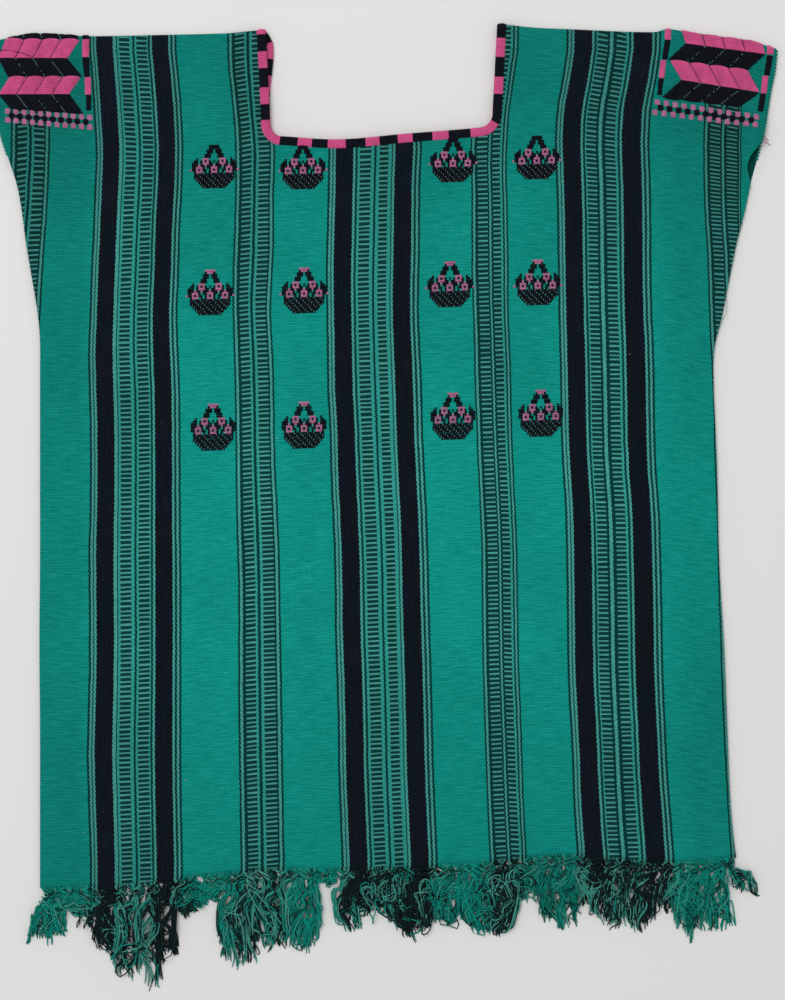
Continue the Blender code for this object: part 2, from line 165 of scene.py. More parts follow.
def near_neck(across, down, layer):
    """1 beside the neck binding, falling softly to 0 away from it."""
    beside = max(neck_side(down, 1, layer) - across, across - neck_side(down, 2, layer))
    below = down - smooth(NECK_BOTTOM, across)
    away = math.hypot(beside, below) if beside > 0 and below > 0 else max(beside, below)
    return 1 - ease((away - NECK_FLAT) / (NECK_RISE - NECK_FLAT))


def ridges(table, across, down):
    """Height of a table of soft ridges at one place."""
    height = 0.0
    for x, y, half_length, half_width, lean, top in table:
        right, below = across - x, down - y
        if abs(right) + abs(below) > 2.6 * half_length + 2.6 * half_width:
            continue
        turn = math.radians(lean)
        along = below * math.cos(turn) + right * math.sin(turn)
        off = right * math.cos(turn) - below * math.sin(turn)
        height += top * math.exp(-1.6 * ((along / half_length) ** 2 + (off / half_width) ** 2))
    return height


def fold_height(across, down, layer):
    """Height of the folds and creases, which die out at seams, neck and shoulder fold."""
    if layer > 0:
        height = ridges(FOLDS, across, down) + ridges(CREASES, across, down)
    else:
        height = ridges(BACK_CREASES, across, down)
    sewn = ease((down - SEWN_FROM) / (SEWN_TO - SEWN_FROM))
    inset = min(across - outer_edge(down, -1, 1), outer_edge(down, 1, 1) - across)
    height *= mix(1.0, ease(inset / 24), sewn)
    top = smooth(SHOULDER, across)
    height *= ease((down - top - 6) / 34)
    height *= 1 - near_neck(across, down, 1)
    if layer < 0:
        # the brocade on the back lifts its cloth off the surface
        lifted = ease((abs(across) - 222) / 12) * ease((down - top) / 5)
        height += BROCADE_LIFT * lifted * (1 - ease((down - 80) / 14))
    return height


def lay(across, run, lift=0.0, rise=1.0):
    """Place of a point of the laid cloth, in millimetres.

    run is along the cloth from the shoulder fold, positive on the front and negative on
    the back. lift is outward from the layer's middle.
    """
    layer = 1 if run >= 0 else -1
    top = smooth(SHOULDER, across)
    near = near_neck(across, abs(run) + top, layer)
    radius = mix(FOLD_RADIUS, NECK_FOLD_RADIUS, near)
    middle = mix(FOLD_MIDDLE, NECK_FOLD_MIDDLE, near)
    turn = abs(run) / radius
    if turn < math.pi / 2:
        y = SHOULDER_Y - top - radius + (radius + lift) * math.cos(turn)
        return Vector((across, y, middle + layer * (radius + lift) * math.sin(turn)))
    down = top + radius + abs(run) - radius * math.pi / 2
    z = middle + layer * (rise * radius + lift) + fold_height(across, down, layer)
    return Vector((across, SHOULDER_Y - down, z))


def run_at(across, down, layer=1):
    """How far along the cloth a place lies. Above the fold it goes on over the back."""
    top = smooth(SHOULDER, across)
    near = near_neck(across, max(down, top), layer)
    radius = mix(FOLD_RADIUS, NECK_FOLD_RADIUS, near)
    return down - top - radius + radius * math.pi / 2


WARPING = {
    # the warp's order in one band from left to right, with each stripe's width: D dark,
    # L light, R rail, K black, H ladder
    "left wide": "D1.9 L1.7 D1.5 L1.9 K14.6 L1.9 D1.5 R1.4 H9.3 R2.5 D2.1 R2.1 H8.6 R1.6 D1.5 L1.7 K15.1 L2.0 D1.6 L1.7 D1.9",
    "middle wide": "D1.9 L1.8 D1.6 L1.8 K15.1 L1.9 D1.6 R1.6 H10.0 R2.3 D2.4 R2.1 H8.3 R2.3 D1.6 L1.9 K15.0 L1.9 D1.7 L1.9 D1.9",
    "right wide": "D1.7 L1.8 D1.5 L1.6 K15.4 L1.7 D1.7 R1.6 H8.4 D1.7 L2.4 D2.6 H8.9 R1.9 D1.9 L1.6 K16.4 L1.8 D1.7 L1.9 D2.2",
    "left narrow": "D1.8 L2.0 D2.6 H8.2 R1.9 D2.5 R1.9 H9.5 D1.5 L1.8 D1.9",
    "right narrow": "D1.6 L1.6 D2.2 H8.3 D1.4 L1.6 D1.7 H6.1 R1.9 D1.4 L1.4 D1.4",
    "right edge": "D1.6 L1.6 D2.2 H8.3 D1.6 L1.5 D2.2 H8.4 D1.2 L1.0 D1.0",
}
BANDS = (
    # warping, left edge in the stripe plan, then how the left and the right edge wander
    # down the cloth: (down, across)
    ("left narrow", -325.6,
     ((14, -315.0), (89, -313.3), (125, -315.0), (149, -316.3), (198, -321), (262, -325), (700, -326)),
     ((14, -281.0), (77, -280.3), (125, -281.5), (149, -282.7), (173, -284.6), (198, -286.3),
      (222, -287.7), (262, -289.5), (700, -290.5))),
    ("left wide", -248.4,
     ((14, -248.2), (40, -245.9), (65, -244.2), (99, -242.5), (133, -243.6), (166, -244.9),
      (200, -246.4), (234, -247.5), (268, -249.0), (301, -248.4), (335, -247.5), (403, -247.7),
      (436, -248.6), (521, -248.2), (571, -249.2), (605, -250.1), (639, -249.4), (698, -247.5)),
     ((14, -173.8), (48, -170.6), (65, -169.3), (99, -168.0), (133, -169.0), (166, -170.8),
      (200, -171.5), (234, -173.0), (268, -172.1), (301, -170.8), (403, -170.2), (470, -169.7),
      (622, -169.7), (698, -168.5))),
    ("left narrow", -122.4,
     ((14, -131.0), (31, -130.3), (48, -128.1), (65, -126.5), (82, -124.9), (133, -124.4),
      (166, -125.3), (217, -126.7), (251, -126.0), (284, -125.1), (335, -124.2), (403, -123.6),
      (436, -122.7), (470, -121.8), (555, -121.8), (622, -121.0), (698, -119.8)),
     ((14, -95.5), (65, -93.8), (82, -91.9), (99, -90.1), (133, -91.3), (183, -91.4),
      (217, -93.3), (234, -93.9), (268, -92.2), (301, -91.1), (335, -90.7), (369, -89.8),
      (403, -88.1), (436, -86.7), (487, -85.8), (555, -84.6), (622, -83.6), (698, -82.4))),
    ("middle wide", -41.2,
     ((99, -46.0), (133, -46.5), (166, -47.3), (200, -48.1), (251, -47.4), (301, -46.9),
      (335, -45.0), (369, -44.3), (403, -42.8), (436, -41.4), (470, -40.6), (504, -40.5),
      (538, -39.3), (588, -38.0), (622, -37.6), (698, -34.8)),
     ((99, 33.5), (133, 32.1), (183, 31.8), (234, 30.9), (268, 32.2), (301, 33.7), (335, 34.4),
      (369, 36.0), (403, 37.7), (436, 38.9), (487, 40.1), (521, 41.1), (571, 42.5), (622, 43.7),
      (698, 47.0))),
    ("right narrow", 83.7,
     ((14, 80.0), (65, 76.5), (99, 74.5), (133, 75.3), (200, 75.4), (234, 76.6), (268, 77.4),
      (301, 78.1), (335, 79.5), (369, 80.7), (403, 82.4), (436, 83.6), (487, 84.0), (538, 84.9),
      (588, 86.3), (639, 88.0), (698, 90.8)),
     ((14, 115.5), (31, 112.6), (48, 110.2), (65, 107.8), (82, 106.3), (116, 105.3),
      (149, 106.2), (200, 106.9), (234, 107.0), (284, 109.0), (335, 109.9), (369, 111.4),
      (403, 113.0), (436, 114.3), (487, 115.1), (538, 116.0), (588, 118.0), (639, 119.6),
      (698, 122.5))),
    ("right wide", 155.0,
     ((14, 155.3), (40, 151.2), (65, 146.8), (90, 145.4), (116, 146.1), (141, 147.0),
      (192, 147.8), (242, 148.6), (293, 149.8), (343, 150.7), (369, 152.0), (394, 153.6),
      (419, 154.6), (487, 155.5), (538, 156.1), (571, 157.7), (605, 159.5), (656, 161.3),
      (698, 164.5)),
     ((14, 235.8), (40, 231.7), (65, 227.1), (90, 225.9), (133, 227.0), (200, 227.5),
      (234, 228.1), (268, 229.6), (335, 230.7), (369, 231.8), (403, 234.4), (436, 235.5),
      (487, 236.7), (538, 237.5), (588, 239.7), (622, 241.2), (656, 243.9), (698, 247.0))),
    ("right edge", 285.0,
     ((14, 274.0), (88, 271.0), (118, 271.3), (154, 272.4), (190, 274.6), (245, 276.4),
      (301, 279.2), (352, 280.4), (403, 282.6), (453, 283.6), (504, 285.2), (555, 286.8),
      (605, 289.0), (656, 291.8), (698, 294.6)),
     ((14, 305.5), (88, 303.2), (118, 303.3), (154, 303.4), (190, 305.5), (245, 307), (698, 325))),
)


def stripes_in(order):
    """A band's stripes in turn, as kind and width."""
    return [(stripe[0], float(stripe[1:])) for stripe in order.split()]


LADDER = 3.95                                   # from one ladder bar to the next
RIB = 2.1                                       # from one raised weft to the next


def warp_place(across, down):
    """Place in the stripe plan of the warp that lies here."""
    edges = []
    for order, start, left, right in BANDS:
        width = sum(stripe[1] for stripe in stripes_in(WARPING[order]))
        edges += [(smooth(left, down), start), (smooth(right, down), start + width)]
    if across <= edges[0][0]:
        return edges[0][1] + across - edges[0][0]
    for (low, low_plan), (high, high_plan) in zip(edges, edges[1:]):
        if across < high:
            return mix(low_plan, high_plan, (across - low) / (high - low))
    return edges[-1][1] + across - edges[-1][0]


def weft_drop(across, down):
    """How far a weft has run down from its height at the middle."""
    body = -0.03 - 0.017 * ease((down - 330) / 370)

    def reach(distance):
        t = min(max(distance / 60, 0.0), 1.0)
        return 60 * (t ** 3 - 0.5 * t ** 4) + max(distance - 60, 0.0)

    right = 1 - ease((down - 50) / 140)
    left = 1 - ease((down - 60) / 130)
    drop = body * across
    drop += (0.132 - body) * right * reach(across - 130)
    return drop - (0.06 - body) * left * reach(-across - 130)


def cloth_rows():
    """The grid's rows from the shoulder fold to the hem."""
    rows = [("bend", angle) for angle in (0, 22, 45, 67, 90)]
    rows += [("arm", k / 17) for k in range(1, 17)]
    rows += [("arc", angle) for angle in (0, 15, 30, 45)]
    rows += [("ring", step) for step in (4, 8, 13, 18, 23, 28, 32)]
    return rows


def row_down(row, across):
    kind, value = row
    bottom = smooth(NECK_BOTTOM, min(max(across, -98), 97))
    top = smooth(SHOULDER, across) + FOLD_RADIUS
    if kind == "bend":
        return top
    if kind == "arm":
        return mix(top, bottom - CORNER, value)
    if kind == "arc":
        return bottom - CORNER * (1 - math.sin(math.radians(value)))
    if kind == "ring":
        return bottom + value
    return mix(bottom + 32, smooth(HEM, across), value)


def side_columns(row, edge, neck, outward):
    sewn = 0.0
    if row[0] not in ("bend", "arm"):
        sewn = ease((row_down(row, edge) - SEWN_FROM) / (SEWN_TO - SEWN_FROM))
    columns = []
    for loose, tight, height in ((0.0, 0.0, 0.15), (0.5, 0.0, 0.55), (1.0, 0.35, 0.93), (1.6, 1.0, 1.0)):
        columns.append((edge - outward * mix(loose, tight, sewn), mix(1.0, height, sewn)))
    start, end = edge - outward * 1.6, neck + outward * 24
    columns += [(mix(start, end, k / 44), 1.0) for k in range(1, 44)]
    return columns + [(neck + outward * step, 1.0) for step in (24, 19, 14, 9, 4.5)]


CORNER_TURNS = (56, 67, 78, 90)
MIDDLE_COLUMNS = 38


def cloth_row(row, layer, corner_row):
    """Places across and down of one row of the grid, or None in the neck hole."""
    kind, value = row
    left = outer_edge(row_down(row, -289), -1, layer)
    right = outer_edge(row_down(row, 302), 1, layer)
    neck_left = neck_side(row_down(row, -98), 1, layer)
    neck_right = neck_side(row_down(row, 97), 2, layer)
    rounded = CORNER * (1 - math.cos(math.radians(value))) if kind == "arc" else 0.0
    points = [(x, row_down(row, x), rise) for x, rise in side_columns(row, left, neck_left, -1) + [(neck_left + rounded, 1.0)]]
    insets = [(CORNER * (1 - math.cos(math.radians(turn))), turn) for turn in CORNER_TURNS]
    middle = [(neck_left + inset, turn) for inset, turn in insets]
    middle += [(mix(neck_left + CORNER, neck_right - CORNER, k / MIDDLE_COLUMNS), 90) for k in range(1, MIDDLE_COLUMNS)]
    middle += [(neck_right - inset, turn) for inset, turn in reversed(insets)]
    for x, turn in middle:
        if corner_row:
            points.append((x, smooth(NECK_BOTTOM, x) - CORNER * (1 - math.sin(math.radians(turn))), 1.0))
        else:
            points.append((x, row_down(row, x), 1.0) if kind in ("ring", "panel") else None)
    rights = side_columns(row, right, neck_right, 1) + [(neck_right - rounded, 1.0)]
    return points + [(x, row_down(row, x), rise) for x, rise in reversed(rights)]


cloth_mesh = bmesh.new()
cloth_uv = cloth_mesh.loops.layers.uv.new("cloth")
threads_at = {}
grid = {}
for layer, panels in ((1, 130), (-1, 64)):
    rows = cloth_rows() + [("panel", (k + 1) / panels) for k in range(panels)]
    corner = rows.index(("arc", 45))
    for j, row in enumerate(rows):
        for i, point in enumerate(cloth_row(row, layer, j == corner)):
            key = (1, 0, i) if j == 0 else (layer, j, i)
            if point is None or key in grid:
                continue
            across, down, rise = point
            if row[0] == "bend":
                near = near_neck(across, down, layer)
                run = math.radians(row[1]) * mix(FOLD_RADIUS, NECK_FOLD_RADIUS, near)
            else:
                run = run_at(across, down, layer)
            grid[key] = cloth_mesh.verts.new(lay(across, layer * run, OUTER, rise) * MM)
            threads_at[grid[key]] = (warp_place(across, down) * MM, (layer * run - weft_drop(across, down)) * MM)
    columns = 1 + max(key[2] for key in grid)
    for j in range(len(rows) - 1):
        for i in range(columns - 1):
            keys = [(layer, j, i), (layer, j, i + 1), (layer, j + 1, i + 1), (layer, j + 1, i)]
            keys = [(1, 0, key[2]) if key[1] == 0 else key for key in keys]
            if all(key in grid for key in keys):
                corners = [grid[key] for key in keys]
                cloth_mesh.faces.new(reversed(corners) if layer > 0 else corners)
for face in cloth_mesh.faces:
    for loop in face.loops:
        loop[cloth_uv].uv = threads_at[loop.vert]


def finished(name, mesh, *materials):
    """A piece made from its mesh, smooth, at the origin and riding on the body."""
    data = bpy.data.meshes.new(name)
    mesh.to_mesh(data)
    mesh.free()
    for material in materials:
        data.materials.append(material)
    data.shade_smooth()
    piece = bpy.data.objects.new(name, data)
    bpy.context.collection.objects.link(piece)
    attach(piece, "root")
    return piece


def wire(tree, kind, inputs=None, **settings):
    """A node of a material. An input is a value or another node's output."""
    node = tree.nodes.new("ShaderNode" + kind)
    for name, value in settings.items():
        setattr(node, name, value)
    for key, value in (inputs or {}).items():
        if isinstance(value, bpy.types.NodeSocket):
            tree.links.new(value, node.inputs[key])
        else:
            node.inputs[key].default_value = value
    return node


def maths(tree, operation, *values):
    return wire(tree, "Math", dict(enumerate(values)), operation=operation).outputs[0]


def between(tree, value, low, high, first=0.0, last=1.0):
    """A value taken from one range to another, held at its ends."""
    return wire(tree, "MapRange", {0: value, 1: low, 2: high, 3: first, 4: last}).outputs[0]


def colours(tree, share, first, second, way="MIX"):
    node = wire(tree, "Mix", data_type="RGBA", blend_type=way)
    for key, value in ((0, share), (6, first), (7, second)):
        if isinstance(value, bpy.types.NodeSocket):
            tree.links.new(value, node.inputs[key])
        else:
            node.inputs[key].default_value = value
    return node.outputs[2]


def unevenness(tree, across, along, seed, detail=2.0):
    """Soft unevenness from 0 to 1; across and along are in its own grain sizes."""
    spot = wire(tree, "CombineXYZ", {0: across, 1: along, 2: seed}).outputs[0]
    return wire(tree, "TexNoise", {"Vector": spot, "Scale": 1.0, "Detail": detail}).outputs[0]


KINDS = {
    # shares of dark, light, black and ladder; "" is plain green
    "D": (1, 0, 0, 0), "L": (0, 1, 0, 0), "R": (0, 0.42, 0, 0), "K": (0, 0, 1, 0),
    "H": (0, 0, 0, 1), "": (0, 0, 0, 0),
}


def stripe_ramp(tree, place, start, order):
    """Dark, light and black shares of one band as a colour, and its ladder as the alpha."""
    stripes = stripes_in(WARPING[order])
    width = sum(stripe[1] for stripe in stripes)
    node = wire(tree, "ValToRGB", {0: between(tree, place, start - width, start + 2 * width)})
    ramp = node.color_ramp
    ramp.interpolation = "CONSTANT"
    ramp.elements.remove(ramp.elements[1])
    ramp.elements[0].color = KINDS[""]
    at = 0.0
    for kind, wide in stripes + [("", 0.0)]:
        ramp.elements.new((width + at) / (3 * width)).color = KINDS[kind]
        at += wide
    return node


GREEN = (0.0006, 0.280, 0.230, 1)
LIGHT = (0.070, 0.320, 0.285, 1)
DARK = (0.0, 0.040, 0.037, 1)
NAVY = (0.0022, 0.0054, 0.0115, 1)
LINT = (0.42, 0.48, 0.46, 1)

striped = bpy.data.materials.new("striped handwoven cotton")
striped.use_nodes = True
tree = striped.node_tree
shader = tree.nodes["Principled BSDF"]
threads = wire(tree, "SeparateXYZ", {0: wire(tree, "UVMap", uv_map="cloth").outputs[0]})
warp = maths(tree, "MULTIPLY", threads.outputs[0], 1000.0)
weft = maths(tree, "MULTIPLY", threads.outputs[1], 1000.0)


def spots(across, along, seed, detail=2.0):
    """Unevenness over the cloth. across and along are how many grains a millimetre has."""
    right = maths(tree, "MULTIPLY", warp, across)
    return unevenness(tree, right, maths(tree, "MULTIPLY", weft, along), seed, detail)


swing = maths(tree, "SINE", maths(tree, "MULTIPLY", weft, 2 * math.pi / LADDER))
zigzag = maths(tree, "MULTIPLY", swing, 0.24)
wander = spots(0.10, 0.07, 3.0)
wander = between(tree, wander, 0.0, 1.0, -0.5, 0.5)
place = maths(tree, "ADD", warp, maths(tree, "ADD", zigzag, wander))
shares, ladder = None, None
for order, start, left, right in BANDS:
    ramp = stripe_ramp(tree, place, start, order)
    shares = colours(tree, 1.0, shares, ramp.outputs[0], "ADD") if shares else ramp.outputs[0]
    ladder = maths(tree, "ADD", ladder, ramp.outputs[1]) if ladder else ramp.outputs[1]
stripes = wire(tree, "SeparateColor", {0: shares})

# each ladder column's bars stand out of step with its neighbour's
passed = None
for order, start, left, right in BANDS:
    width = sum(stripe[1] for stripe in stripes_in(WARPING[order]))
    step = maths(tree, "GREATER_THAN", place, start + width / 2)
    passed = maths(tree, "ADD", passed, step) if passed else step
uneven_weft = between(tree, spots(0.018, 0.11, 9.0), 0.0, 1.0, -1.6, 1.6)
bars = maths(tree, "DIVIDE", maths(tree, "ADD", weft, uneven_weft), LADDER)
bars = maths(tree, "FRACT", maths(tree, "ADD", bars, maths(tree, "MULTIPLY", passed, 0.43)))
bars = maths(tree, "ABSOLUTE", maths(tree, "SUBTRACT", bars, 0.5))
bars = between(tree, bars, 0.125, 0.225, 1.0, 0.0)
weft_turn = maths(tree, "MULTIPLY", weft, 2 * math.pi / RIB)
beads = maths(tree, "SINE", maths(tree, "ADD", weft_turn, maths(tree, "MULTIPLY", warp, 1.7)))
beads = between(tree, beads, -1.0, 1.0, 0.55, 1.05)

rib_noise = maths(tree, "MULTIPLY", spots(0.035, 0.5, 17.0), 4.5)
ribs = maths(tree, "SINE", maths(tree, "ADD", weft_turn, rib_noise))
slubs = spots(0.07, 0.85, 23.0, 3.0)
warp_grain = spots(1.1, 0.06, 31.0)
cloud = spots(0.012, 0.009, 41.0)
grain = spots(1.1, 1.1, 47.0, 1.0)
# The cloth's colour is made darker towards the shoulder fold and towards the hem, lightest about halfway down the
# front, and darker on the outer stripes at both sides
depth = wire(tree, "ValToRGB", {0: between(tree, weft, -720.0, 720.0)})
for position, value in ((0.5, 0.70), (0.55, 0.73), (0.61, 0.88), (0.68, 0.95), (0.76, 1.0), (0.86, 0.98), (0.93, 0.88)):
    stop = depth.color_ramp.elements.new(position)
    stop.color = (value, value, value, 1)
depth.color_ramp.elements[0].color = (0.9, 0.9, 0.9, 1)
depth.color_ramp.elements[-1].color = (0.84, 0.84, 0.84, 1)
beside = between(tree, warp, -258.0, -235.0, 0.79, 1.0)
beside = maths(tree, "MULTIPLY", beside, between(tree, warp, 230.0, 262.0, 1.0, 0.85))
tone = maths(tree, "MULTIPLY", depth.outputs[0], beside)
for source, share in ((ribs, 0.09), (slubs, 0.48), (warp_grain, 0.14), (cloud, 0.20), (grain, 0.34)):
    low = -1.0 if source == ribs else 0.0
    tone = maths(tree, "MULTIPLY", tone, between(tree, source, low, 1.0, 1.0 - share, 1.0 + share))

colour = colours(tree, maths(tree, "MULTIPLY", stripes.outputs[1], beads), GREEN, LIGHT)
fuzz = maths(tree, "MULTIPLY", between(tree, grain, 0.42, 0.75, 0.0, 0.045), between(tree, slubs, 0.35, 0.65))
colour = colours(tree, fuzz, colour, LINT)
colour = colours(tree, stripes.outputs[0], colour, DARK)
colour = colours(tree, ladder, colour, colours(tree, bars, DARK, LIGHT))
colour = colours(tree, 1.0, colour, tone, "MULTIPLY")
black_tone = between(tree, spots(0.5, 0.05, 53.0), 0.3, 0.7, 0.7, 1.4)
warm = between(tree, spots(0.16, 0.02, 59.0), 0.35, 0.65)
black = colours(tree, warm, NAVY, (0.0042, 0.0050, 0.0090, 1))
colour = colours(tree, stripes.outputs[2], colour, colours(tree, 1.0, black, black_tone, "MULTIPLY"))
cells = {0: maths(tree, "MULTIPLY", warp, 0.06), 1: maths(tree, "MULTIPLY", weft, 0.06)}
cells = wire(tree, "CombineXYZ", cells).outputs[0]
flecks = wire(tree, "TexVoronoi", {"Vector": cells, "Scale": 1.0, "Randomness": 1.0})
lint = maths(tree, "LESS_THAN", flecks.outputs["Distance"], 0.030)
lot = wire(tree, "SeparateColor", {0: flecks.outputs["Color"]}).outputs[0]
lint = maths(tree, "MULTIPLY", lint, maths(tree, "GREATER_THAN", lot, 0.8))
colour = colours(tree, maths(tree, "MULTIPLY", lint, 0.6), colour, LINT)
tree.links.new(colour, shader.inputs["Base Color"])

relief = maths(tree, "ADD", maths(tree, "MULTIPLY", ribs, 0.35), maths(tree, "MULTIPLY", slubs, 1.2))
relief = maths(tree, "ADD", relief, maths(tree, "MULTIPLY", warp_grain, 0.5))
relief = maths(tree, "ADD", relief, maths(tree, "MULTIPLY", maths(tree, "MULTIPLY", bars, ladder), 0.8))
relief = wire(tree, "Bump", {"Height": relief, "Strength": 0.8, "Distance": 0.00028})
tree.links.new(relief.outputs[0], shader.inputs["Normal"])
shader.inputs["Roughness"].default_value = 0.82
shader.inputs["Specular IOR Level"].default_value = 0.06
shader.inputs["Sheen Weight"].default_value = 0.12
shader.inputs["Sheen Roughness"].default_value = 0.45
shader.inputs["Sheen Tint"].default_value = (0.25, 0.9, 0.8, 1)

# the same cloth seen inside the blouse, where it lies in the dark of the armhole, with painted shade: a copy whose
# colour is multiplied darker
inside = striped.copy()
inside.name = "striped cotton, inside, painted shade"
tree = inside.node_tree
shader = tree.nodes["Principled BSDF"]
seen = shader.inputs["Base Color"].links[0].from_socket
# painted shade: the inside's colour multiplied by 0.32
tree.links.new(colours(tree, 1.0, seen, (0.32, 0.32, 0.32, 1), "MULTIPLY"), shader.inputs["Base Color"])

body_cloth = finished("body_cloth_woven", cloth_mesh, striped, inside)
bpy.context.view_layer.objects.active = body_cloth
wall = body_cloth.modifiers.new("thin cloth", "SOLIDIFY")
wall.thickness = THIN * MM
wall.offset = -1.0
# the inner faces of the cloth take the painted-shade copy; they show only in the armhole
wall.material_offset = 1
bpy.ops.object.modifier_apply(modifier="thin cloth")
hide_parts("body_cloth")


# -------------------------------------------------------------- brocade yarn
# Soft spun yarn laid over the cloth in floats, as the weaver puts in each pick by hand.
# A float is a low half-round bar that is tucked in at both ends.
BLACK_YARN = (0.0045, 0.0056, 0.0100, 1)
PINK_YARN = (0.575, 0.082, 0.228, 1)
FLOAT_HALF_WIDTH = 1.02
FLOAT_HEIGHT = 0.80
FLOAT_TUCK = 0.45
FLOAT_RAISE = 0.10
STATION = 3.2                                 # from one bend of a long float to the next

spun = bpy.data.node_groups.new("spun yarn", "ShaderNodeTree")
spun.interface.new_socket("Colour", in_out="INPUT", socket_type="NodeSocketColor")
for name in ("Around", "Along", "Twist", "Unevenness", "Painted ply shade"):
    spun.interface.new_socket(name, in_out="INPUT", socket_type="NodeSocketFloat")
spun.interface.new_socket("Colour", in_out="OUTPUT", socket_type="NodeSocketColor")
spun.interface.new_socket("Height", in_out="OUTPUT", socket_type="NodeSocketFloat")
given = spun.nodes.new("NodeGroupInput")
gives = spun.nodes.new("NodeGroupOutput")
turns = maths(spun, "ADD", maths(spun, "DIVIDE", given.outputs["Along"], given.outputs["Twist"]), given.outputs["Around"])
plies = maths(spun, "SINE", maths(spun, "MULTIPLY", turns, 2 * math.pi))
spread = wire(spun, "TexCoord").outputs["Object"]
fuzz = wire(spun, "TexNoise", {"Vector": spread, "Scale": 1400.0, "Detail": 2.0}).outputs[0]
dye = wire(spun, "TexNoise", {"Vector": spread, "Scale": 120.0, "Detail": 2.0}).outputs[0]
shade = maths(spun, "ADD", between(spun, dye, 0.25, 0.75, -1.0, 1.0), between(spun, fuzz, 0.25, 0.75, -0.7, 0.7))
shade = maths(spun, "ADD", 1.0, maths(spun, "MULTIPLY", shade, given.outputs["Unevenness"]))
# painted shade: the colour darkens in the valleys between the plies of the twist; the dye and fuzz noise above are the
# yarn's own uneven colour
shade = maths(spun, "ADD", shade, maths(spun, "MULTIPLY", plies, given.outputs["Painted ply shade"]))
spun.links.new(colours(spun, 1.0, given.outputs["Colour"], shade, "MULTIPLY"), gives.inputs["Colour"])
spun.links.new(maths(spun, "ADD", maths(spun, "MULTIPLY", plies, 0.6), fuzz), gives.inputs["Height"])


def yarn_material(name, colour, twist, uneven, sheen, dyes=None, plies=0.05):
    """A yarn's finish. dyes is a list of colours read by the piece's own dye number; plies is how much painted shade
    darkens the valleys between the plies of its twist.
    """
    material = bpy.data.materials.new(name)
    material.use_nodes = True
    tree = material.node_tree
    shader = tree.nodes["Principled BSDF"]
    place = wire(tree, "SeparateXYZ", {0: wire(tree, "UVMap", uv_map="yarn").outputs[0]})
    group = wire(tree, "Group", node_tree=spun)
    tree.links.new(place.outputs[0], group.inputs["Around"])
    tree.links.new(place.outputs[1], group.inputs["Along"])
    group.inputs["Colour"].default_value = colour
    group.inputs["Twist"].default_value = twist
    group.inputs["Unevenness"].default_value = uneven
    group.inputs["Painted ply shade"].default_value = plies
    if dyes:
        ramp = wire(tree, "ValToRGB", {0: wire(tree, "Attribute", attribute_name="dye").outputs["Fac"]})
        ramp.color_ramp.interpolation = "CONSTANT"
        ramp.color_ramp.elements.remove(ramp.color_ramp.elements[1])
        for k, dyed in enumerate(dyes):
            stop = ramp.color_ramp.elements[0] if k == 0 else ramp.color_ramp.elements.new(k / len(dyes))
            stop.color = dyed
        tree.links.new(ramp.outputs[0], group.inputs["Colour"])
    tree.links.new(group.outputs["Colour"], shader.inputs["Base Color"])
    bump = wire(tree, "Bump", {"Height": group.outputs["Height"], "Strength": 0.6, "Distance": 0.00015})
    tree.links.new(bump.outputs[0], shader.inputs["Normal"])
    shader.inputs["Roughness"].default_value = 0.78
    shader.inputs["Specular IOR Level"].default_value = 0.06
    shader.inputs["Sheen Weight"].default_value = sheen
    shader.inputs["Sheen Roughness"].default_value = 0.5
    shader.inputs["Sheen Tint"].default_value = (*[min(1.0, 0.25 + 1.6 * c) for c in colour[:3]], 1)
    return material


black_yarn = yarn_material("black brocade yarn", BLACK_YARN, 0.0021, 0.15, 0.05)
pink_yarn = yarn_material("pink brocade yarn", PINK_YARN, 0.0021, 0.19, 0.15)
soft_pink_yarn = yarn_material("softer pink brocade yarn", (0.40, 0.14, 0.262, 1), 0.0021, 0.19, 0.15)
tie_yarn = yarn_material("warp ends that tie the brocade", (0.26, 0.46, 0.43, 1), 0.0021, 0.15, 0.05)


def new_yarn_mesh():
    mesh = bmesh.new()
    mesh.loops.layers.uv.new("yarn")
    return mesh


def add_float(mesh, start, end, dye, half_width=FLOAT_HALF_WIDTH, height=FLOAT_HEIGHT, bow=0.0):
    """One float from start to end, each across and down in the flat cloth. bow is how far
    its middle sags down the cloth."""
    uv = mesh.loops.layers.uv["yarn"]
    (x0, d0), (x1, d1) = start, end
    length = math.hypot(x1 - x0, d1 - d0)
    aside = Vector((-(d1 - d0), x1 - x0)) / length * half_width
    section = ((-1.0, -0.45), (-0.78, 0.55), (0.0, 1.0), (0.78, 0.55), (1.0, -0.45))
    tuck = min(FLOAT_TUCK / length, 0.3)
    inner = max(1, round(length / STATION))
    stations = [(0.0, 0.0)] + [(mix(tuck, 1 - tuck, k / (inner + 1)), 1.0) for k in range(inner + 2)] + [(1.0, 0.0)]
    rings = []
    for k, (share, high) in enumerate(stations):
        if k in (1, len(stations) - 2):
            high = 0.8
        ring = []
        for off, up in section:
            x = mix(x0, x1, share) + aside.x * off
            d = mix(d0, d1, share) + aside.y * off + 4 * bow * share * (1 - share)
            lift = OUTER + FLOAT_RAISE + height * (mix(-0.3, up, high) if up > 0 else up)
            spot = lay(x, run_at(x, d), lift)
            spot.z = max(spot.z, 0.03)
            ring.append(mesh.verts.new(spot * MM))
        rings.append((share * length * MM, ring))
    for (v0, ring), (v1, after) in zip(rings, rings[1:]):
        for i in range(5):
            j = (i + 1) % 5
            face = mesh.faces.new((ring[i], ring[j], after[j], after[i]))
            face.material_index = dye
            for loop, place in zip(face.loops, ((i, v0), (i + 1, v0), (i + 1, v1), (i, v1))):
                loop[uv].uv = (place[0] / 5, place[1])
    for ring in (rings[0][1], rings[-1][1]):
        mesh.faces.new(ring).material_index = dye


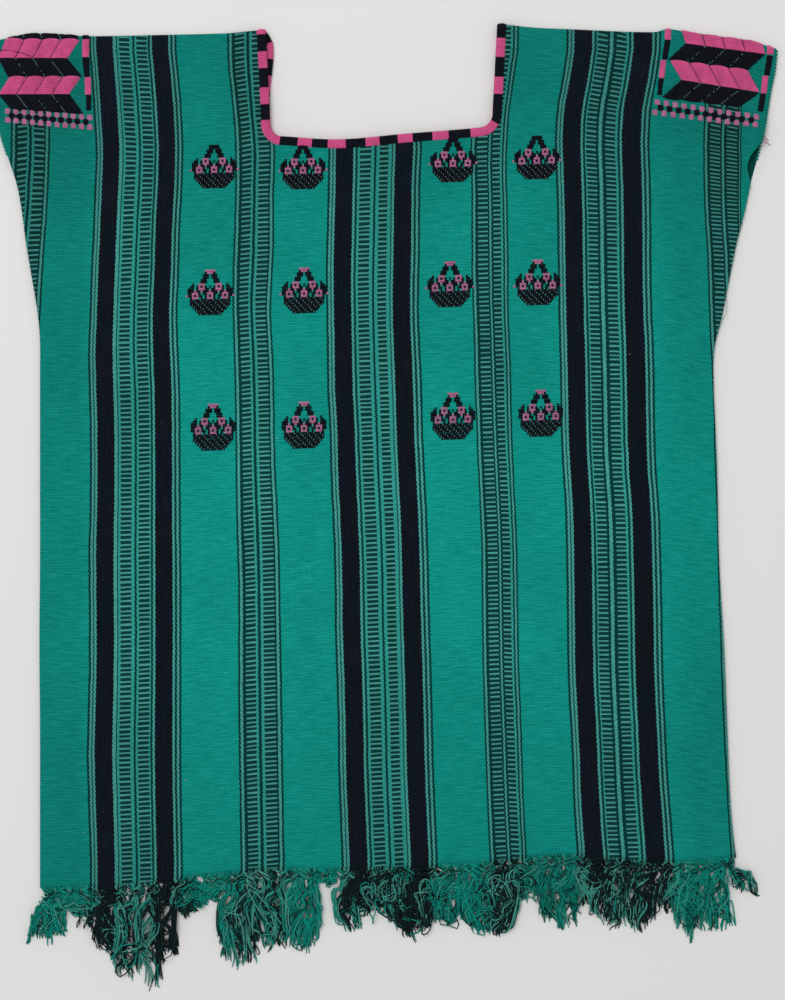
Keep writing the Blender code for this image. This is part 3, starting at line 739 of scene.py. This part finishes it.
# Sleeve brocade: rows of leaning blocks, pink and black by turns, between two upright
# bars, and a chequer row below. It is woven in before the cloth is cut from the loom, so
# it goes on over the shoulder fold.
BLACK, PINK, TIE, SOFT_PINK = 0, 1, 2, 3
PICK = 1.5                                    # from one brocade pick to the next


def add_tie(mesh, across, down, dye, long=1.3, half_width=0.30):
    """A warp end that comes up over a float and ties it down."""
    add_float(mesh, (across, down - long / 2), (across, down + long / 2), dye, half_width, 1.22)


SLEEVE_BLOCKS = (
    # dye, then top left, top right, bottom left, bottom right
    (PINK, (252.0, -7.3), (319.5, 1.7), (256.6, 8.4), (323.8, 17.3)),
    (BLACK, (256.6, 8.4), (323.8, 17.7), (241.4, 22.5), (308.9, 31.6)),
    (PINK, (243.6, 23.1), (308.9, 31.6), (253.2, 39.0), (319.0, 49.6)),
    (BLACK, (252.8, 39.3), (318.7, 50.3), (236.3, 53.8), (303.0, 61.2)),
    (BLACK, (237.0, -22.9), (304.0, -14.0), (252.0, -7.6), (319.5, 1.4)),
    (PINK, (252.0, -38.4), (319.5, -29.6), (237.0, -23.2), (304.0, -14.3)),
    (BLACK, (237.0, -54.0), (304.0, -45.2), (252.0, -38.7), (319.5, -29.9)),
    (PINK, (-318.1, 5.5), (-255.6, 5.5), (-324.4, 20.6), (-265.9, 20.8)),
    (BLACK, (-324.2, 20.9), (-265.9, 21.1), (-316.0, 36.8), (-253.2, 36.6)),
    (PINK, (-315.0, 37.3), (-254.7, 37.1), (-324.0, 51.5), (-264.3, 51.2)),
    (BLACK, (-323.6, 51.7), (-263.8, 51.5), (-314.5, 62.5), (-252.2, 67.5)),
    (BLACK, (-326.0, -10.0), (-266.0, -9.8), (-316.1, 5.0), (-255.6, 5.2)),
    (PINK, (-316.0, -25.5), (-256.0, -25.4), (-326.0, -10.4), (-266.0, -10.2)),
    (BLACK, (-326.0, -41.0), (-266.0, -40.9), (-316.0, -25.9), (-256.0, -25.8)),
)
SLEEVE_BARS = (
    (PINK, (239.4, -10.0), (244.7, -9.6), (238.9, 5.0), (244.1, 5.2)),
    (BLACK, (238.9, 5.5), (243.9, 5.7), (236.6, 21.6), (241.2, 21.9)),
    (PINK, (235.5, 22.4), (240.2, 22.8), (233.8, 37.1), (238.5, 37.4)),
    (BLACK, (233.7, 37.8), (238.3, 38.0), (232.4, 51.7), (236.5, 52.2)),
    (BLACK, (239.9, -26.0), (245.2, -25.6), (239.4, -10.4), (244.7, -10.0)),
    (PINK, (240.4, -42.0), (245.7, -41.6), (239.9, -26.4), (245.2, -26.0)),
    (PINK, (325.6, 3.0), (331.4, 3.4), (325.2, 17.2), (330.8, 17.7)),
    (BLACK, (325.2, 18.6), (330.6, 19.0), (322.7, 34.8), (327.6, 35.3)),
    (PINK, (321.7, 35.6), (326.6, 36.0), (319.9, 50.1), (324.9, 50.6)),
    (BLACK, (319.4, 50.9), (324.6, 51.1), (317.2, 65.8), (321.9, 66.3)),
    (BLACK, (322.0, -13.0), (327.8, -12.6), (325.6, 2.6), (331.4, 3.0)),
    (PINK, (319.4, -29.0), (325.2, -28.6), (322.0, -13.4), (327.8, -13.0)),
    (PINK, (-253.3, 5.1), (-247.5, 4.7), (-253.3, 19.7), (-247.6, 19.7)),
    (BLACK, (-253.3, 20.3), (-247.1, 20.3), (-251.7, 36.5), (-246.8, 36.5)),
    (PINK, (-251.2, 37.1), (-245.9, 37.1), (-250.8, 51.5), (-245.8, 51.5)),
    (BLACK, (-250.2, 51.9), (-245.4, 51.9), (-249.8, 65.0), (-245.6, 65.0)),
    (BLACK, (-253.3, -10.8), (-247.5, -11.0), (-253.3, 4.7), (-247.5, 4.4)),
    (PINK, (-253.3, -26.6), (-247.5, -26.8), (-253.3, -11.2), (-247.5, -11.4)),
)
CHEQUERS = (
    # first and last pink square of the upper row, then of the lower row, and how many
    ((232.5, 58.2), (315.7, 70.9), (230.4, 66.9), (314.6, 77.5), 12),
    ((-316.1, 65.8), (-246.6, 71.3), (-315.7, 73.4), (-246.6, 79.3), 11),
    ((-316.0, -58.0), (-247.0, -58.0), (-316.0, -50.0), (-247.0, -50.0), 11),
    ((232.5, -70.0), (318.0, -61.0), (232.5, -62.0), (318.0, -53.0), 12),
)
PINK_SQUARE, BLACK_SQUARE = 4.3, 4.9

chance = random.Random(7)
sleeves = new_yarn_mesh()


def fill_block(corners, dye, parts):
    """Floats one under another between a block's slanting sides, tied down at the joints."""
    (x0, d0), (x1, d1), (x2, d2), (x3, d3) = corners
    picks = max(2, round(max(d2 - d0, d3 - d1) / PICK))
    for k in range(picks):
        share = (k + 0.5) / picks
        left = (mix(x0, x2, share), mix(d0, d2, share))
        right = (mix(x1, x3, share), mix(d1, d3, share))
        for part in range(parts):
            ends = []
            for at, side in ((part / parts, 1), ((part + 1) / parts, -1)):
                gap = 0.12 if 0 < at < 1 and dye == PINK else -0.1
                x = mix(left[0], right[0], at) + side * gap + chance.uniform(-0.2, 0.2)
                ends.append((x, mix(left[1], right[1], at)))
            puff = 0.25 * math.sin(math.pi * share) if parts > 1 else 0.0
            # pink swells up into the black above it, and the lowest black sags
            bow = 0.0
            if parts > 1:
                bow = mix(-1.5, -0.1, share) if dye == PINK else mix(-0.1, 1.3 if d0 > 38 else -1.4, share)
            add_float(sleeves, *ends, dye, height=FLOAT_HEIGHT * (1.0 + puff), bow=bow)
            if part:
                x, d = mix(left[0], right[0], part / parts), mix(left[1], right[1], part / parts)
                if dye == PINK:
                    add_tie(sleeves, x, d, BLACK, 1.5, 0.26)
                elif chance.random() < 0.62:
                    add_tie(sleeves, x + chance.uniform(-0.2, 0.2), d, TIE, 1.3, 0.36)


def fill_square(first, last, across, down, size, dye):
    """One square of a chequer row, on the row's slant."""
    slant = (last[1] - first[1]) / (last[0] - first[0]) * size / 2
    half = size / 2
    corners = [(across + side * half, down + below * half + side * slant)
               for below in (-1, 1) for side in (-1, 1)]
    fill_block(corners, dye, 1)


for dye, *corners in SLEEVE_BLOCKS:
    fill_block(corners, dye, 4)
for dye, *corners in SLEEVE_BARS:
    fill_block(corners, dye, 1)
for upper_first, upper_last, lower_first, lower_last, count in CHEQUERS:
    for k in range(count):
        share = k / (count - 1)
        for first, last in ((upper_first, upper_last), (lower_first, lower_last)):
            fill_square(first, last, mix(first[0], last[0], share), mix(first[1], last[1], share), PINK_SQUARE, SOFT_PINK)
        if k + 1 < count:
            share = (k + 0.5) / (count - 1)
            x = mix(mix(upper_first[0], upper_last[0], share), mix(lower_first[0], lower_last[0], share), 0.5)
            d = mix(mix(upper_first[1], upper_last[1], share), mix(lower_first[1], lower_last[1], share), 0.5)
            fill_square(upper_first, upper_last, x, d, BLACK_SQUARE, BLACK)
bmesh.ops.recalc_face_normals(sleeves, faces=sleeves.faces[:])
sleeve_brocade = finished("sleeve_brocade", sleeves, black_yarn, pink_yarn, tie_yarn, soft_pink_yarn)


# Basket brocade: twelve small flower baskets in three rows on the green stripes, each
# woven in pick by pick with black and pink yarn over a counted pattern.
BASKETS = (
    # across and down of the middle, height, and 1 where the handle has a pink cap
    (-141.8, 112.3, 36.6, 0), (-66.7, 113.1, 36.6, 0), (59.9, 107.2, 36.6, 0), (130.8, 104.7, 36.6, 0),
    (-145.2, 218.6, 38.6, 1), (-65.8, 216.9, 38.6, 1), (57.4, 211.8, 38.6, 1), (131.7, 210.2, 38.6, 1),
    (-142.6, 332.5, 39.6, 1), (-65.8, 330.8, 39.6, 1), (59.9, 323.3, 39.6, 1), (134.2, 320.7, 39.6, 1),
)
COUNTED = (
    # c is the cap and t a side tip, which the lowest row doesn't have
    ".........ccccc.........",
    ".........#ccc#.........",
    "........###.###........",
    "........###.###........",
    ".......###...###.......",
    ".......###...###.......",
    "...#..ppp.....ppp..#...",
    "..##.#p#p#.#.#p#p#.##..",
    ".###.#ppp##.##ppp#.###.",
    ".###p##p###p###p##p###.",
    ".##ppp#.##ppp##.#ppp##.",
    "t##p#p##.#p#p#.##p#p##t",
    "..#ppp.#.#ppp#.#.ppp#..",
    "..###################..",
    "..###################..",
    "..###################..",
    "...#################...",
    "....###############....",
    ".....#############.....",
    "......###########......",
)
CELL = 1.80
TIED_EVERY = 3                                # cells between the ties of a long float
BOWL = 13                                     # the first row of the bowl

baskets = new_yarn_mesh()
for number, (middle, down, height, capped) in enumerate(BASKETS):
    slope = -0.03
    cell_down = height / len(COUNTED)
    for j, line in enumerate(COUNTED):
        marks = line.replace("c", "p" if capped else "#").replace("t", "p" if number < 8 else ".")
        i = 0
        while i < len(marks):
            end = i
            while end < len(marks) and marks[end] == marks[i] and (end == i or j < BOWL or (end + 2 * j) % TIED_EVERY):
                end += 1
            if marks[i] != ".":
                x0 = (i - 11.5) * CELL - 0.15 + chance.uniform(-0.2, 0.2)
                x1 = (end - 11.5) * CELL + 0.15 + chance.uniform(-0.2, 0.2)
                d = down + (j - 9.5) * cell_down + chance.uniform(-0.08, 0.08)
                add_float(baskets, (middle + x0, d + slope * x0), (middle + x1, d + slope * x1), PINK if marks[i] == "p" else BLACK)
                if j >= BOWL and end < len(marks) and marks[end] == "#":
                    add_tie(baskets, middle + x1, d + slope * x1, TIE, 1.2, 0.32)
                elif marks[i] == "p" and end - i > 2:
                    add_tie(baskets, middle + 0.5 * (x0 + x1), d, BLACK, 0.9, 0.30)
            i = end
bmesh.ops.recalc_face_normals(baskets, faces=baskets.faces[:])
basket_brocade = finished("basket_brocade", baskets, black_yarn, soft_pink_yarn, tie_yarn)


# -------------------------------------------------------------- neck binding
# The cut neck edge, bound all round with yarn wrapped tightly over it, in black and pink
# blocks. Each turn of yarn shows as a small slanting ridge.
WRAP = 1.45                                   # from one turn of yarn to the next
ROLL_HALF_WIDTH, ROLL_HALF_THICK = 4.05, 1.78
RIDGE = 0.62
BLOCKS = (
    # lengths from the left shoulder fold, down the front, and back up to the right one
    (1, 4.2), (0, 14.4), (1, 14.3), (0, 16.1), (1, 14.3), (0, 13.5), (1, 23.5), (0, 15.2),
    (1, 11.8), (0, 13.5), (1, 15.2), (0, 16.8), (1, 11.9), (0, 15.1), (1, 12.7), (0, 16.9),
    (1, 13.5), (0, 18.6), (1, 23.5), (0, 24.4), (1, 14.4), (0, 16.9), (1, 16.0), (0, 15.2),
)
BACK_BLOCKS = (
    # and from the left fold down the back and round
    (1, 4.0), (0, 9.0), (1, 13.0), (0, 14.0), (1, 14.0), (0, 16.0), (1, 15.0), (0, 15.0), (1, 20.0),
    (0, 15.0), (1, 14.0), (0, 15.0), (1, 13.0), (0, 16.0), (1, 14.0), (0, 15.0), (1, 13.0),
    (0, 16.0), (1, 15.0), (0, 15.0), (1, 20.0), (0, 16.0), (1, 15.0), (0, 15.0), (1, 15.0),
    (0, 14.0), (1, 15.0), (0, 60.0),
)


def neck_path():
    """The cut edge once round, as across and run, left side of the front first."""
    def arm(column, layer):
        rounding = (0, 15, 30, 45)
        bottom = smooth(NECK_BOTTOM, -98 if column == 1 else 97)
        top = smooth(SHOULDER, -98 if column == 1 else 97) + FOLD_RADIUS
        inward = 1 if column == 1 else -1
        points = [mix(top, bottom - CORNER, k / 16) for k in range(17)]
        points = [(neck_side(d, column, layer), d) for d in points]
        for turn in rounding[1:]:
            d = bottom - CORNER * (1 - math.sin(math.radians(turn)))
            points.append((neck_side(d, column, layer) + inward * CORNER * (1 - math.cos(math.radians(turn))), d))
        return [(x, layer * run_at(x, d, layer)) for x, d in points]

    def bottom_edge(layer):
        left, right = neck_side(88, 1, layer), neck_side(80, 2, layer)
        xs = [(left + CORNER * (1 - math.cos(math.radians(t))), t) for t in CORNER_TURNS]
        xs += [(mix(left + CORNER, right - CORNER, k / 16), 90) for k in range(1, 16)]
        xs += [(right - CORNER * (1 - math.cos(math.radians(t))), t) for t in reversed(CORNER_TURNS)]
        places = [(x, smooth(NECK_BOTTOM, x) - CORNER * (1 - math.sin(math.radians(t)))) for x, t in xs]
        return [(x, layer * run_at(x, d, layer)) for x, d in places]

    def around(layer):
        return arm(1, layer) + bottom_edge(layer) + list(reversed(arm(2, layer)))

    left_fold = (neck_side(0, 1, 1), 0.0)
    right_fold = (neck_side(-5, 2, 1), 0.0)
    return [left_fold] + around(1) + [right_fold] + list(reversed(around(-1)))


def even_steps(points, step):
    """A closed path cut into even steps, as place and distance from its start."""
    points = [Vector(point) for point in points]
    points.append(points[0])
    places, travelled, wanted = [], 0.0, 0.0
    for before, after in zip(points, points[1:]):
        length = (after - before).length
        while length > 0 and wanted <= travelled + length:
            places.append((before.lerp(after, (wanted - travelled) / length), wanted))
            wanted += step
        travelled += length
    while travelled - places[-1][1] < 0.6 * step:
        places.pop()
    return places


path = neck_path()
loop = even_steps(path, WRAP / 4)
roll = new_yarn_mesh()
roll_uv = roll.loops.layers.uv["yarn"]
SECTION = 14
rings = []
for k, (here, distance) in enumerate(loop):
    before, after = loop[k - 3][0], loop[(k + 3) % len(loop)][0]
    along = (after - before).normalized()
    into_cloth = Vector((-along.y, along.x))
    ring = []
    for i in range(SECTION):
        turn = 2 * math.pi * i / SECTION
        slant = 2 * math.pi * distance / WRAP + 1.1 * math.cos(turn)
        ridge = RIDGE * (abs(math.cos(0.5 * slant)) - 0.75)
        width, thick = ROLL_HALF_WIDTH + ridge, ROLL_HALF_THICK + ridge
        out = width * math.copysign(abs(math.cos(turn)) ** 0.85, math.cos(turn))
        up = thick * math.copysign(abs(math.sin(turn)) ** 0.85, math.sin(turn))
        place = here + into_cloth * out
        ring.append(roll.verts.new(lay(place.x, place.y, up) * MM))
    rings.append((distance, ring))


def dye_at(distance, blocks):
    """The dye this far along a row of blocks."""
    for dye, length in blocks:
        distance -= length
        if distance < 0:
            return dye
    return dye


front_length = sum(length for dye, length in BLOCKS)
for k, (distance, ring) in enumerate(rings):
    after = rings[(k + 1) % len(rings)][1]
    around_back = rings[-1][0] - distance
    dye = dye_at(distance, BLOCKS) if distance < front_length else dye_at(around_back, BACK_BLOCKS)
    for i in range(SECTION):
        j = (i + 1) % SECTION
        face = roll.faces.new((ring[i], ring[j], after[j], after[i]))
        face.material_index = dye
        further = distance + WRAP / 4
        places = ((distance, i), (distance, i + 1), (further, i + 1), (further, i))
        for corner_loop, place in zip(face.loops, places):
            corner_loop[roll_uv].uv = (place[0] / WRAP, place[1] * 1.1 * MM)
bmesh.ops.recalc_face_normals(roll, faces=roll.faces[:])
# the wrapped yarns carry stronger painted shade in the valleys between their plies
black_wrap = yarn_material("black wrapped yarn", BLACK_YARN, 0.0120, 0.15, 0.05, plies=0.35)
pink_wrap = yarn_material("pink wrapped yarn", PINK_YARN, 0.0120, 0.10, 0.15, plies=0.20)
neck_binding = finished("neck_binding_wrapped", roll, black_wrap, pink_wrap)
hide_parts("neck_binding")


# -------------------------------------------------------------------- fringe
# The warp ends past the last weft. Each lock's yarns draw together into a short twisted
# head, then lie loose, curled and tangled on the surface, in bunches as they fell.
YARN = 0.64                                   # radius of one warp yarn
LOCK_PITCH = 10.8
HEAD = 10.0                                   # length of a twisted head
HEAD_RADIUS = 2.7
DYES = (
    (0.0040, 0.0060, 0.0100, 1), (0.0, 0.040, 0.034, 1), (0.001, 0.19, 0.145, 1),
    (0.002, 0.30, 0.235, 1), (0.075, 0.34, 0.28, 1),
)
INK, DEEP, GREEN_SHADE, GREEN_YARN, PALE = range(5)
BUNCHES = (
    # root from, root to, waist across, waist down, tip across, width, down, tangle, heap
    (-288, -268, -280, 736, -284, 37, 774, 4, 5),
    (-268, -245, -257, 728, -260, 25, 750, 6, 5),
    (-245, -235, -241, 736, -240, 12, 770, 6, 6),
    (-235, -218, -229, 744, -229, 20, 787, 7, 8),
    (-218, -203, -214, 757, -216, 15, 806, 7, 9),
    (-203, -189, -199, 757, -194, 18, 811, 7, 9),
    (-189, -176, -184, 749, -182, 19, 789, 7, 8),
    (-176, -157, -165, 728, -165, 15, 753, 6, 7),
    (-154, -130, -144, 719, -142, 8, 739, 2, 3),
    (-130, -105, -123, 744, -120, 29, 792, 4, 5),
    (-105, -78, -98, 742, -93, 25, 784, 5, 7),
    (-78, -54, -66, 736, -69, 22, 782, 4, 6),
    (-54, -40, -49, 715, -46, 7, 723, 1, 4),
    (-40, -25, -31, 732, -22, 8, 773, 3, 5),
    (-25, -5, -20, 732, -27, 34, 754, 8, 8),
    (-5, 15, 5, 728, 8, 17, 749, 7, 7),
    (15, 46, 25, 740, 27, 19, 769, 6, 7),
    (46, 73, 54, 732, 54, 15, 762, 4, 5),
    (73, 115, 91, 736, 91, 14, 770, 6, 6),
    (115, 138, 120, 723, 120, 17, 739, 5, 5),
    (138, 163, 150, 736, 155, 25, 763, 6, 6),
    (163, 186, 181, 723, 182, 19, 745, 4, 5),
    (186, 209, 191, 732, 197, 22, 763, 4, 6),
    (209, 232, 218, 736, 218, 14, 763, 3, 5),
    (232, 254, 246, 732, 249, 12, 751, 3, 4),
    (254, 278, 263, 736, 263, 34, 769, 5, 6),
    (278, 289, 284, 736, 290, 22, 768, 5, 6),
    (289, 299, 309, 722, 321, 15, 738, 3, 5),
)

random_yarn = random.Random(21)


def stripe_of(place):
    """Which dye a warp yarn has, from its place in the stripe plan."""
    for order, start, left, right in BANDS:
        at = start
        for kind, wide in stripes_in(WARPING[order]):
            if at <= place < at + wide:
                if kind == "H":
                    return random_yarn.choice((INK, PALE, INK, PALE, INK, DEEP))
                if kind == "R":
                    return random_yarn.choice((PALE, GREEN_YARN))
                return {"D": INK, "L": PALE, "K": INK}[kind]
            at += wide
    greens = (GREEN_YARN, GREEN_YARN, GREEN_YARN, GREEN_SHADE, GREEN_SHADE, GREEN_YARN)
    return random_yarn.choice(greens + (DEEP, PALE))


def add_yarn(mesh, points, radius, dye=0.0, sides=3, tip=0.6):
    """A closed tube of yarn along points in millimetres, thinner at its end."""
    uv = mesh.loops.layers.uv["yarn"]
    number = mesh.verts.layers.float.get("dye") or mesh.verts.layers.float.new("dye")
    points = [Vector(point) for point in points]
    travelled, rings = 0.0, []
    for k, here in enumerate(points):
        before, after = points[max(k - 1, 0)], points[min(k + 1, len(points) - 1)]
        travelled += (here - before).length
        along = (after - before).normalized()
        aside = along.cross(Vector((0, 0, 1)))
        aside = aside.normalized() if aside.length > 1e-4 else Vector((1, 0, 0))
        above = aside.cross(along)
        size = radius * (tip if k == len(points) - 1 else 1.0)
        ring = []
        for i in range(sides):
            turn = math.pi / 2 + 2 * math.pi * i / sides
            vert = mesh.verts.new((here + size * (math.cos(turn) * aside + math.sin(turn) * above)) * MM)
            vert[number] = dye
            ring.append(vert)
        rings.append((travelled * MM, ring))
    for (v0, ring), (v1, after) in zip(rings, rings[1:]):
        for i in range(sides):
            j = (i + 1) % sides
            face = mesh.faces.new((ring[i], after[i], after[j], ring[j]))
            for corner_loop, place in zip(face.loops, ((i, v0), (i, v1), (i + 1, v1), (i + 1, v0))):
                corner_loop[uv].uv = (place[0] / sides, place[1])
    mesh.faces.new(rings[0][1])
    mesh.faces.new(list(reversed(rings[-1][1])))


def waves(count):
    """Random phases for a curl."""
    return [random_yarn.uniform(0, 2 * math.pi) for _ in range(count)]


def curl(t, phases, slow, quick):
    """Sideways and lengthways swing of a curling yarn at share t of its length."""
    side = math.sin(2 * math.pi * slow * t + phases[0]) + 0.55 * math.sin(2 * math.pi * quick * t + phases[1])
    long = math.sin(2 * math.pi * slow * 1.1 * t + phases[2]) + 0.55 * math.sin(2 * math.pi * quick * 0.9 * t + phases[3])
    return Vector((side, long))


def between_rows(rows, at):
    """Two values read on a soft path through rows of (down, value, value)."""
    for low, high in zip(rows, rows[1:]):
        if at < high[0]:
            break
    share = ease((at - low[0]) / (high[0] - low[0]))
    return mix(low[1], high[1], share), mix(low[2], high[2], share)


def make_fringe(name, layer, yarns_each, stations, reach, material):
    """All the locks of one hem. reach is how far towards the tips they go."""
    mesh = new_yarn_mesh()
    mesh.verts.layers.float.new("dye")
    for start, end, waist, waist_down, tip, width, tip_down, tangle, heap in BUNCHES:
        locks = max(1, round((end - start) / LOCK_PITCH))
        pitch = (end - start) / locks
        for number in range(locks):
            middle = mix(start, end, (number + 0.5) / locks)
            # the back's locks hang between the front's
            pulled = min(middle + 0.50 * pitch, 295.0) if layer < 0 else middle
            hem_down = smooth(HEM, middle)
            half = (end - start) / 2
            room = (
                (hem_down, (start + end) / 2, half + 1),
                (max(waist_down, hem_down + 14), waist, 1.25 * half + 2),
                (max(tip_down, hem_down + 26), tip, 0.5 * width + 2),
            )
            seat = (middle - (start + end) / 2) / half
            phase = random_yarn.uniform(0, 2 * math.pi)
            turns = random_yarn.choice((1.1, 1.3, -1.2, 1.4))
            lock_curl = waves(4)
            clumps = [
                (side + random_yarn.uniform(-0.2, 0.2), waves(4),
                 random_yarn.uniform(-1, 1), random_yarn.uniform(0.15, 1.0))
                for side in (-1.0, -0.4, 0.4, 1.0)
            ]
            random_yarn.shuffle(clumps)
            lock_down = tip_down - random_yarn.uniform(0, 8)
            count = max(4, round(yarns_each * pitch / LOCK_PITCH))
            for k in range(count):
                root = middle + pitch * ((k + 0.5) / count - 0.5)
                root_down = smooth(HEM, root)
                edge = lay(root, layer * run_at(root, root_down), 0.1)
                own = random_yarn.uniform(0, 2 * math.pi)
                points = [Vector((root, root_down - 2.5, edge.z)), Vector((root, root_down + 0.6, edge.z + 0.3 * layer))]
                for step in (0.3, 0.5, 0.7, 0.85, 1.0):
                    turn = phase + (0 if k % 2 else math.pi) + turns * 2 * math.pi * step
                    tight = ease(step / 0.4) * (1 - 0.3 * ease((step - 0.6) / 0.4))
                    x = mix(root, pulled + HEAD_RADIUS * math.cos(turn) + math.cos(own), tight)
                    z = max(2.2, edge.z) + tight * (0.85 * HEAD_RADIUS * math.sin(turn) + 0.8 * math.sin(own))
                    points.append(Vector((x, mix(root_down, hem_down, tight) + HEAD * step, max(z, 0.6))))
                first = points[-1]
                side, clump_curl, clump_long, high = clumps[(k // 2) % 4]
                alone = waves(4)
                wild = random_yarn.random() < 0.12
                place = seat + 0.6 * side * pitch / half
                beside, above = random_yarn.uniform(-1.7, 1.7), random_yarn.uniform(0.0, 1.6)
                last = mix(hem_down + HEAD + 6, lock_down - 3.0 + 4.0 * clump_long - 5 * place * place - 9 * random_yarn.random() ** 2, reach)
                level = 1.0 + 0.55 * heap * high + above + (0.6 if wild else 0.0)
                for step in range(1, stations + 1):
                    t = step / stations
                    down = mix(first.y, last, t)
                    centre, half_room = between_rows(room, down)
                    loose = (tangle + 1.5) * ease(t / 0.2) * (1 - 0.5 * ease((t - 0.75) / 0.25)) * (1.7 if wild else 1.0)
                    swing = 0.25 * curl(t, lock_curl, 0.7, 1.5) + 0.55 * curl(t, clump_curl, 1.2, 2.4) + (0.40 if wild else 0.10) * curl(t, alone, 1.6, 3.4)
                    seated = mix((first.x - centre) / half_room, place, ease(t / 0.35)) + loose * swing.x / half_room
                    bound = 1.0 if not wild else 1.25
                    seated = bound * math.tanh(seated / bound * 1.05)
                    x = centre + half_room * seated + beside * ease(t / 0.3) * (1 + 0.9 * ease((t - 0.8) / 0.2))
                    z = mix(first.z, level, ease(t / 0.3)) * (1 - 0.8 * ease((t - 0.65) / 0.35)) + 0.12 * loose * math.sin(9 * t + alone[1])
                    y = max(down + 0.9 * loose * swing.y, hem_down + 4 if t < 0.9 else hem_down + 10)
                    points.append(Vector((x, y, max(z, 1.3 * YARN))))
                world = [Vector((p.x, SHOULDER_Y - p.y, p.z)) for p in points]
                dye = (stripe_of(warp_place(root, root_down)) + 0.5) / len(DYES)
                add_yarn(mesh, world, YARN * random_yarn.uniform(0.85, 1.15), dye)
    return finished(name, mesh, material)


fringe_yarn = yarn_material("loose warp yarn", DYES[GREEN_YARN], 0.0034, 0.14, 0.12, DYES)
front_fringe = make_fringe("front_fringe_yarns", 1, 19, 22, 1.0, fringe_yarn)
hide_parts("front_fringe")
back_fringe = make_fringe("back_fringe_yarns", -1, 23, 17, 0.86, fringe_yarn)
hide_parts("back_fringe")


# ------------------------------------------------------------- side stitches
# The side seams are turned inside and closed with small slip stitches from the armholes
# to the hem, in the cloth's own green yarn. At the sleeve ends the weft shows as small
# loops where it turns back into the cloth.
STITCH_PITCH = 6.2

stitches = new_yarn_mesh()
for side, column in ((-1, 1), (1, 2)):
    down = SEWN_TO
    while down < smooth(HEM, side * 295) - 4:
        edge = smooth(OUTLINE, down, column)
        lean = 1.6
        points = []
        for share in (0.0, 0.2, 0.5, 0.8, 1.0):
            turn = math.pi * (share - 0.5)
            x = edge + side * (0.25 * math.cos(turn) - 0.15)
            points.append((x, SHOULDER_Y - down - lean * share, 1.75 + 1.05 * math.sin(turn)))
        add_yarn(stitches, points, 0.28, 0.0, 5, 1.0)
        down += STITCH_PITCH
for layer, column in ((1, 2), (-1, 2), (1, 1), (-1, 1)):
    side = 1 if column == 2 else -1
    run = 2.0
    while run < 100:
        down = run + smooth(SHOULDER, side * 320)
        edge = outer_edge(down, side, layer)
        points = [lay(edge + side * out, layer * (run + step), 0.0) for out, step in ((-0.9, -0.9), (0.4, -0.75), (1.3, -0.2), (1.3, 0.3), (0.4, 0.8), (-0.9, 0.9))]
        add_yarn(stitches, points, 0.44, 0.0, 4, 1.0)
        run += 2.9
green_thread = yarn_material("green sewing yarn", (0.001, 0.26, 0.21, 1), 0.0016, 0.1, 0.1)
side_stitches = finished("side_stitches", stitches, green_thread)


# ------------------------------------------------------------- loose threads
# Ends that the weaver left: a dark float that came free across the left sleeve, a tuft
# of pink at the right armhole, and a curl of thread on the right side.
loose = new_yarn_mesh()


def over_cloth(places, lift):
    """Points that lie on the front of the cloth, from across and down."""
    return [lay(x, run_at(x, d), OUTER + lift) for x, d in places]


LOOSE_BLACK, LOOSE_PINK, LOOSE_GREEN = 0.1, 0.5, 0.9
add_yarn(loose, over_cloth([(-325, 14), (-318, 14.2), (-311, 15), (-304, 16.6), (-299, 18.6), (-296, 20.5)], 0.9), 0.34, LOOSE_BLACK)
for tip in ((329.0, 94.0), (327.0, 90.0), (323.0, 86.5)):
    add_yarn(loose, [(317.5, SHOULDER_Y - 90.0, 3.4), (0.5 * (317.5 + tip[0]), SHOULDER_Y - tip[1] + 3.0, 4.4), (tip[0], SHOULDER_Y - tip[1], 1.6)], 0.5, LOOSE_PINK)
add_yarn(loose, over_cloth([(289, 219), (291.5, 226), (291, 236), (287, 244), (283, 249)], 0.5), 0.22, LOOSE_GREEN)
loose_yarn = yarn_material("loose thread ends", PINK_YARN, 0.0020, 0.1, 0.1, (BLACK_YARN, PINK_YARN, DYES[GREEN_YARN]))
loose_threads = finished("loose_threads", loose, loose_yarn)


# --------------------------------------------------- floor, light and camera
# A plain pale surface under the blouse, soft light from all round with a wide panel
# overhead, and a camera straight above, as the photo was taken.
bpy.ops.mesh.primitive_plane_add(size=6.0, location=(0, 0, 0))
floor = bpy.context.object
floor.name = "floor"
pale = bpy.data.materials.new("plain pale surface")
pale.use_nodes = True
tree = pale.node_tree
tree.nodes["Principled BSDF"].inputs["Base Color"].default_value = (0.80, 0.80, 0.787, 1)
tree.nodes["Principled BSDF"].inputs["Roughness"].default_value = 0.9
tree.nodes["Principled BSDF"].inputs["Specular IOR Level"].default_value = 0.1
floor.data.materials.append(pale)

world = bpy.data.worlds.new("soft studio")
bpy.context.scene.world = world
world.use_nodes = True
world.node_tree.nodes["Background"].inputs["Color"].default_value = (1.0, 1.0, 1.0, 1)
world.node_tree.nodes["Background"].inputs["Strength"].default_value = 0.63

bpy.ops.object.light_add(type="AREA", location=(-1.1, 1.3, 3.0))
panel = bpy.context.object
panel.name = "overhead_panel"
panel.data.shape = "SQUARE"
panel.data.size = 1.6
panel.data.energy = 42.0
panel.rotation_euler = (Vector((0, 0, 0)) - panel.location).to_track_quat("-Z", "Y").to_euler()

bpy.ops.object.camera_add(location=(0.0089, 0.0069, 1.704), rotation=(0, 0, 0))
camera = bpy.context.object
camera.name = "camera_above"
camera.data.sensor_fit = "VERTICAL"
camera.data.sensor_height = 24.0
camera.data.lens = 48.3
bpy.context.scene.camera = camera
bpy.context.scene.view_settings.view_transform = "Standard"
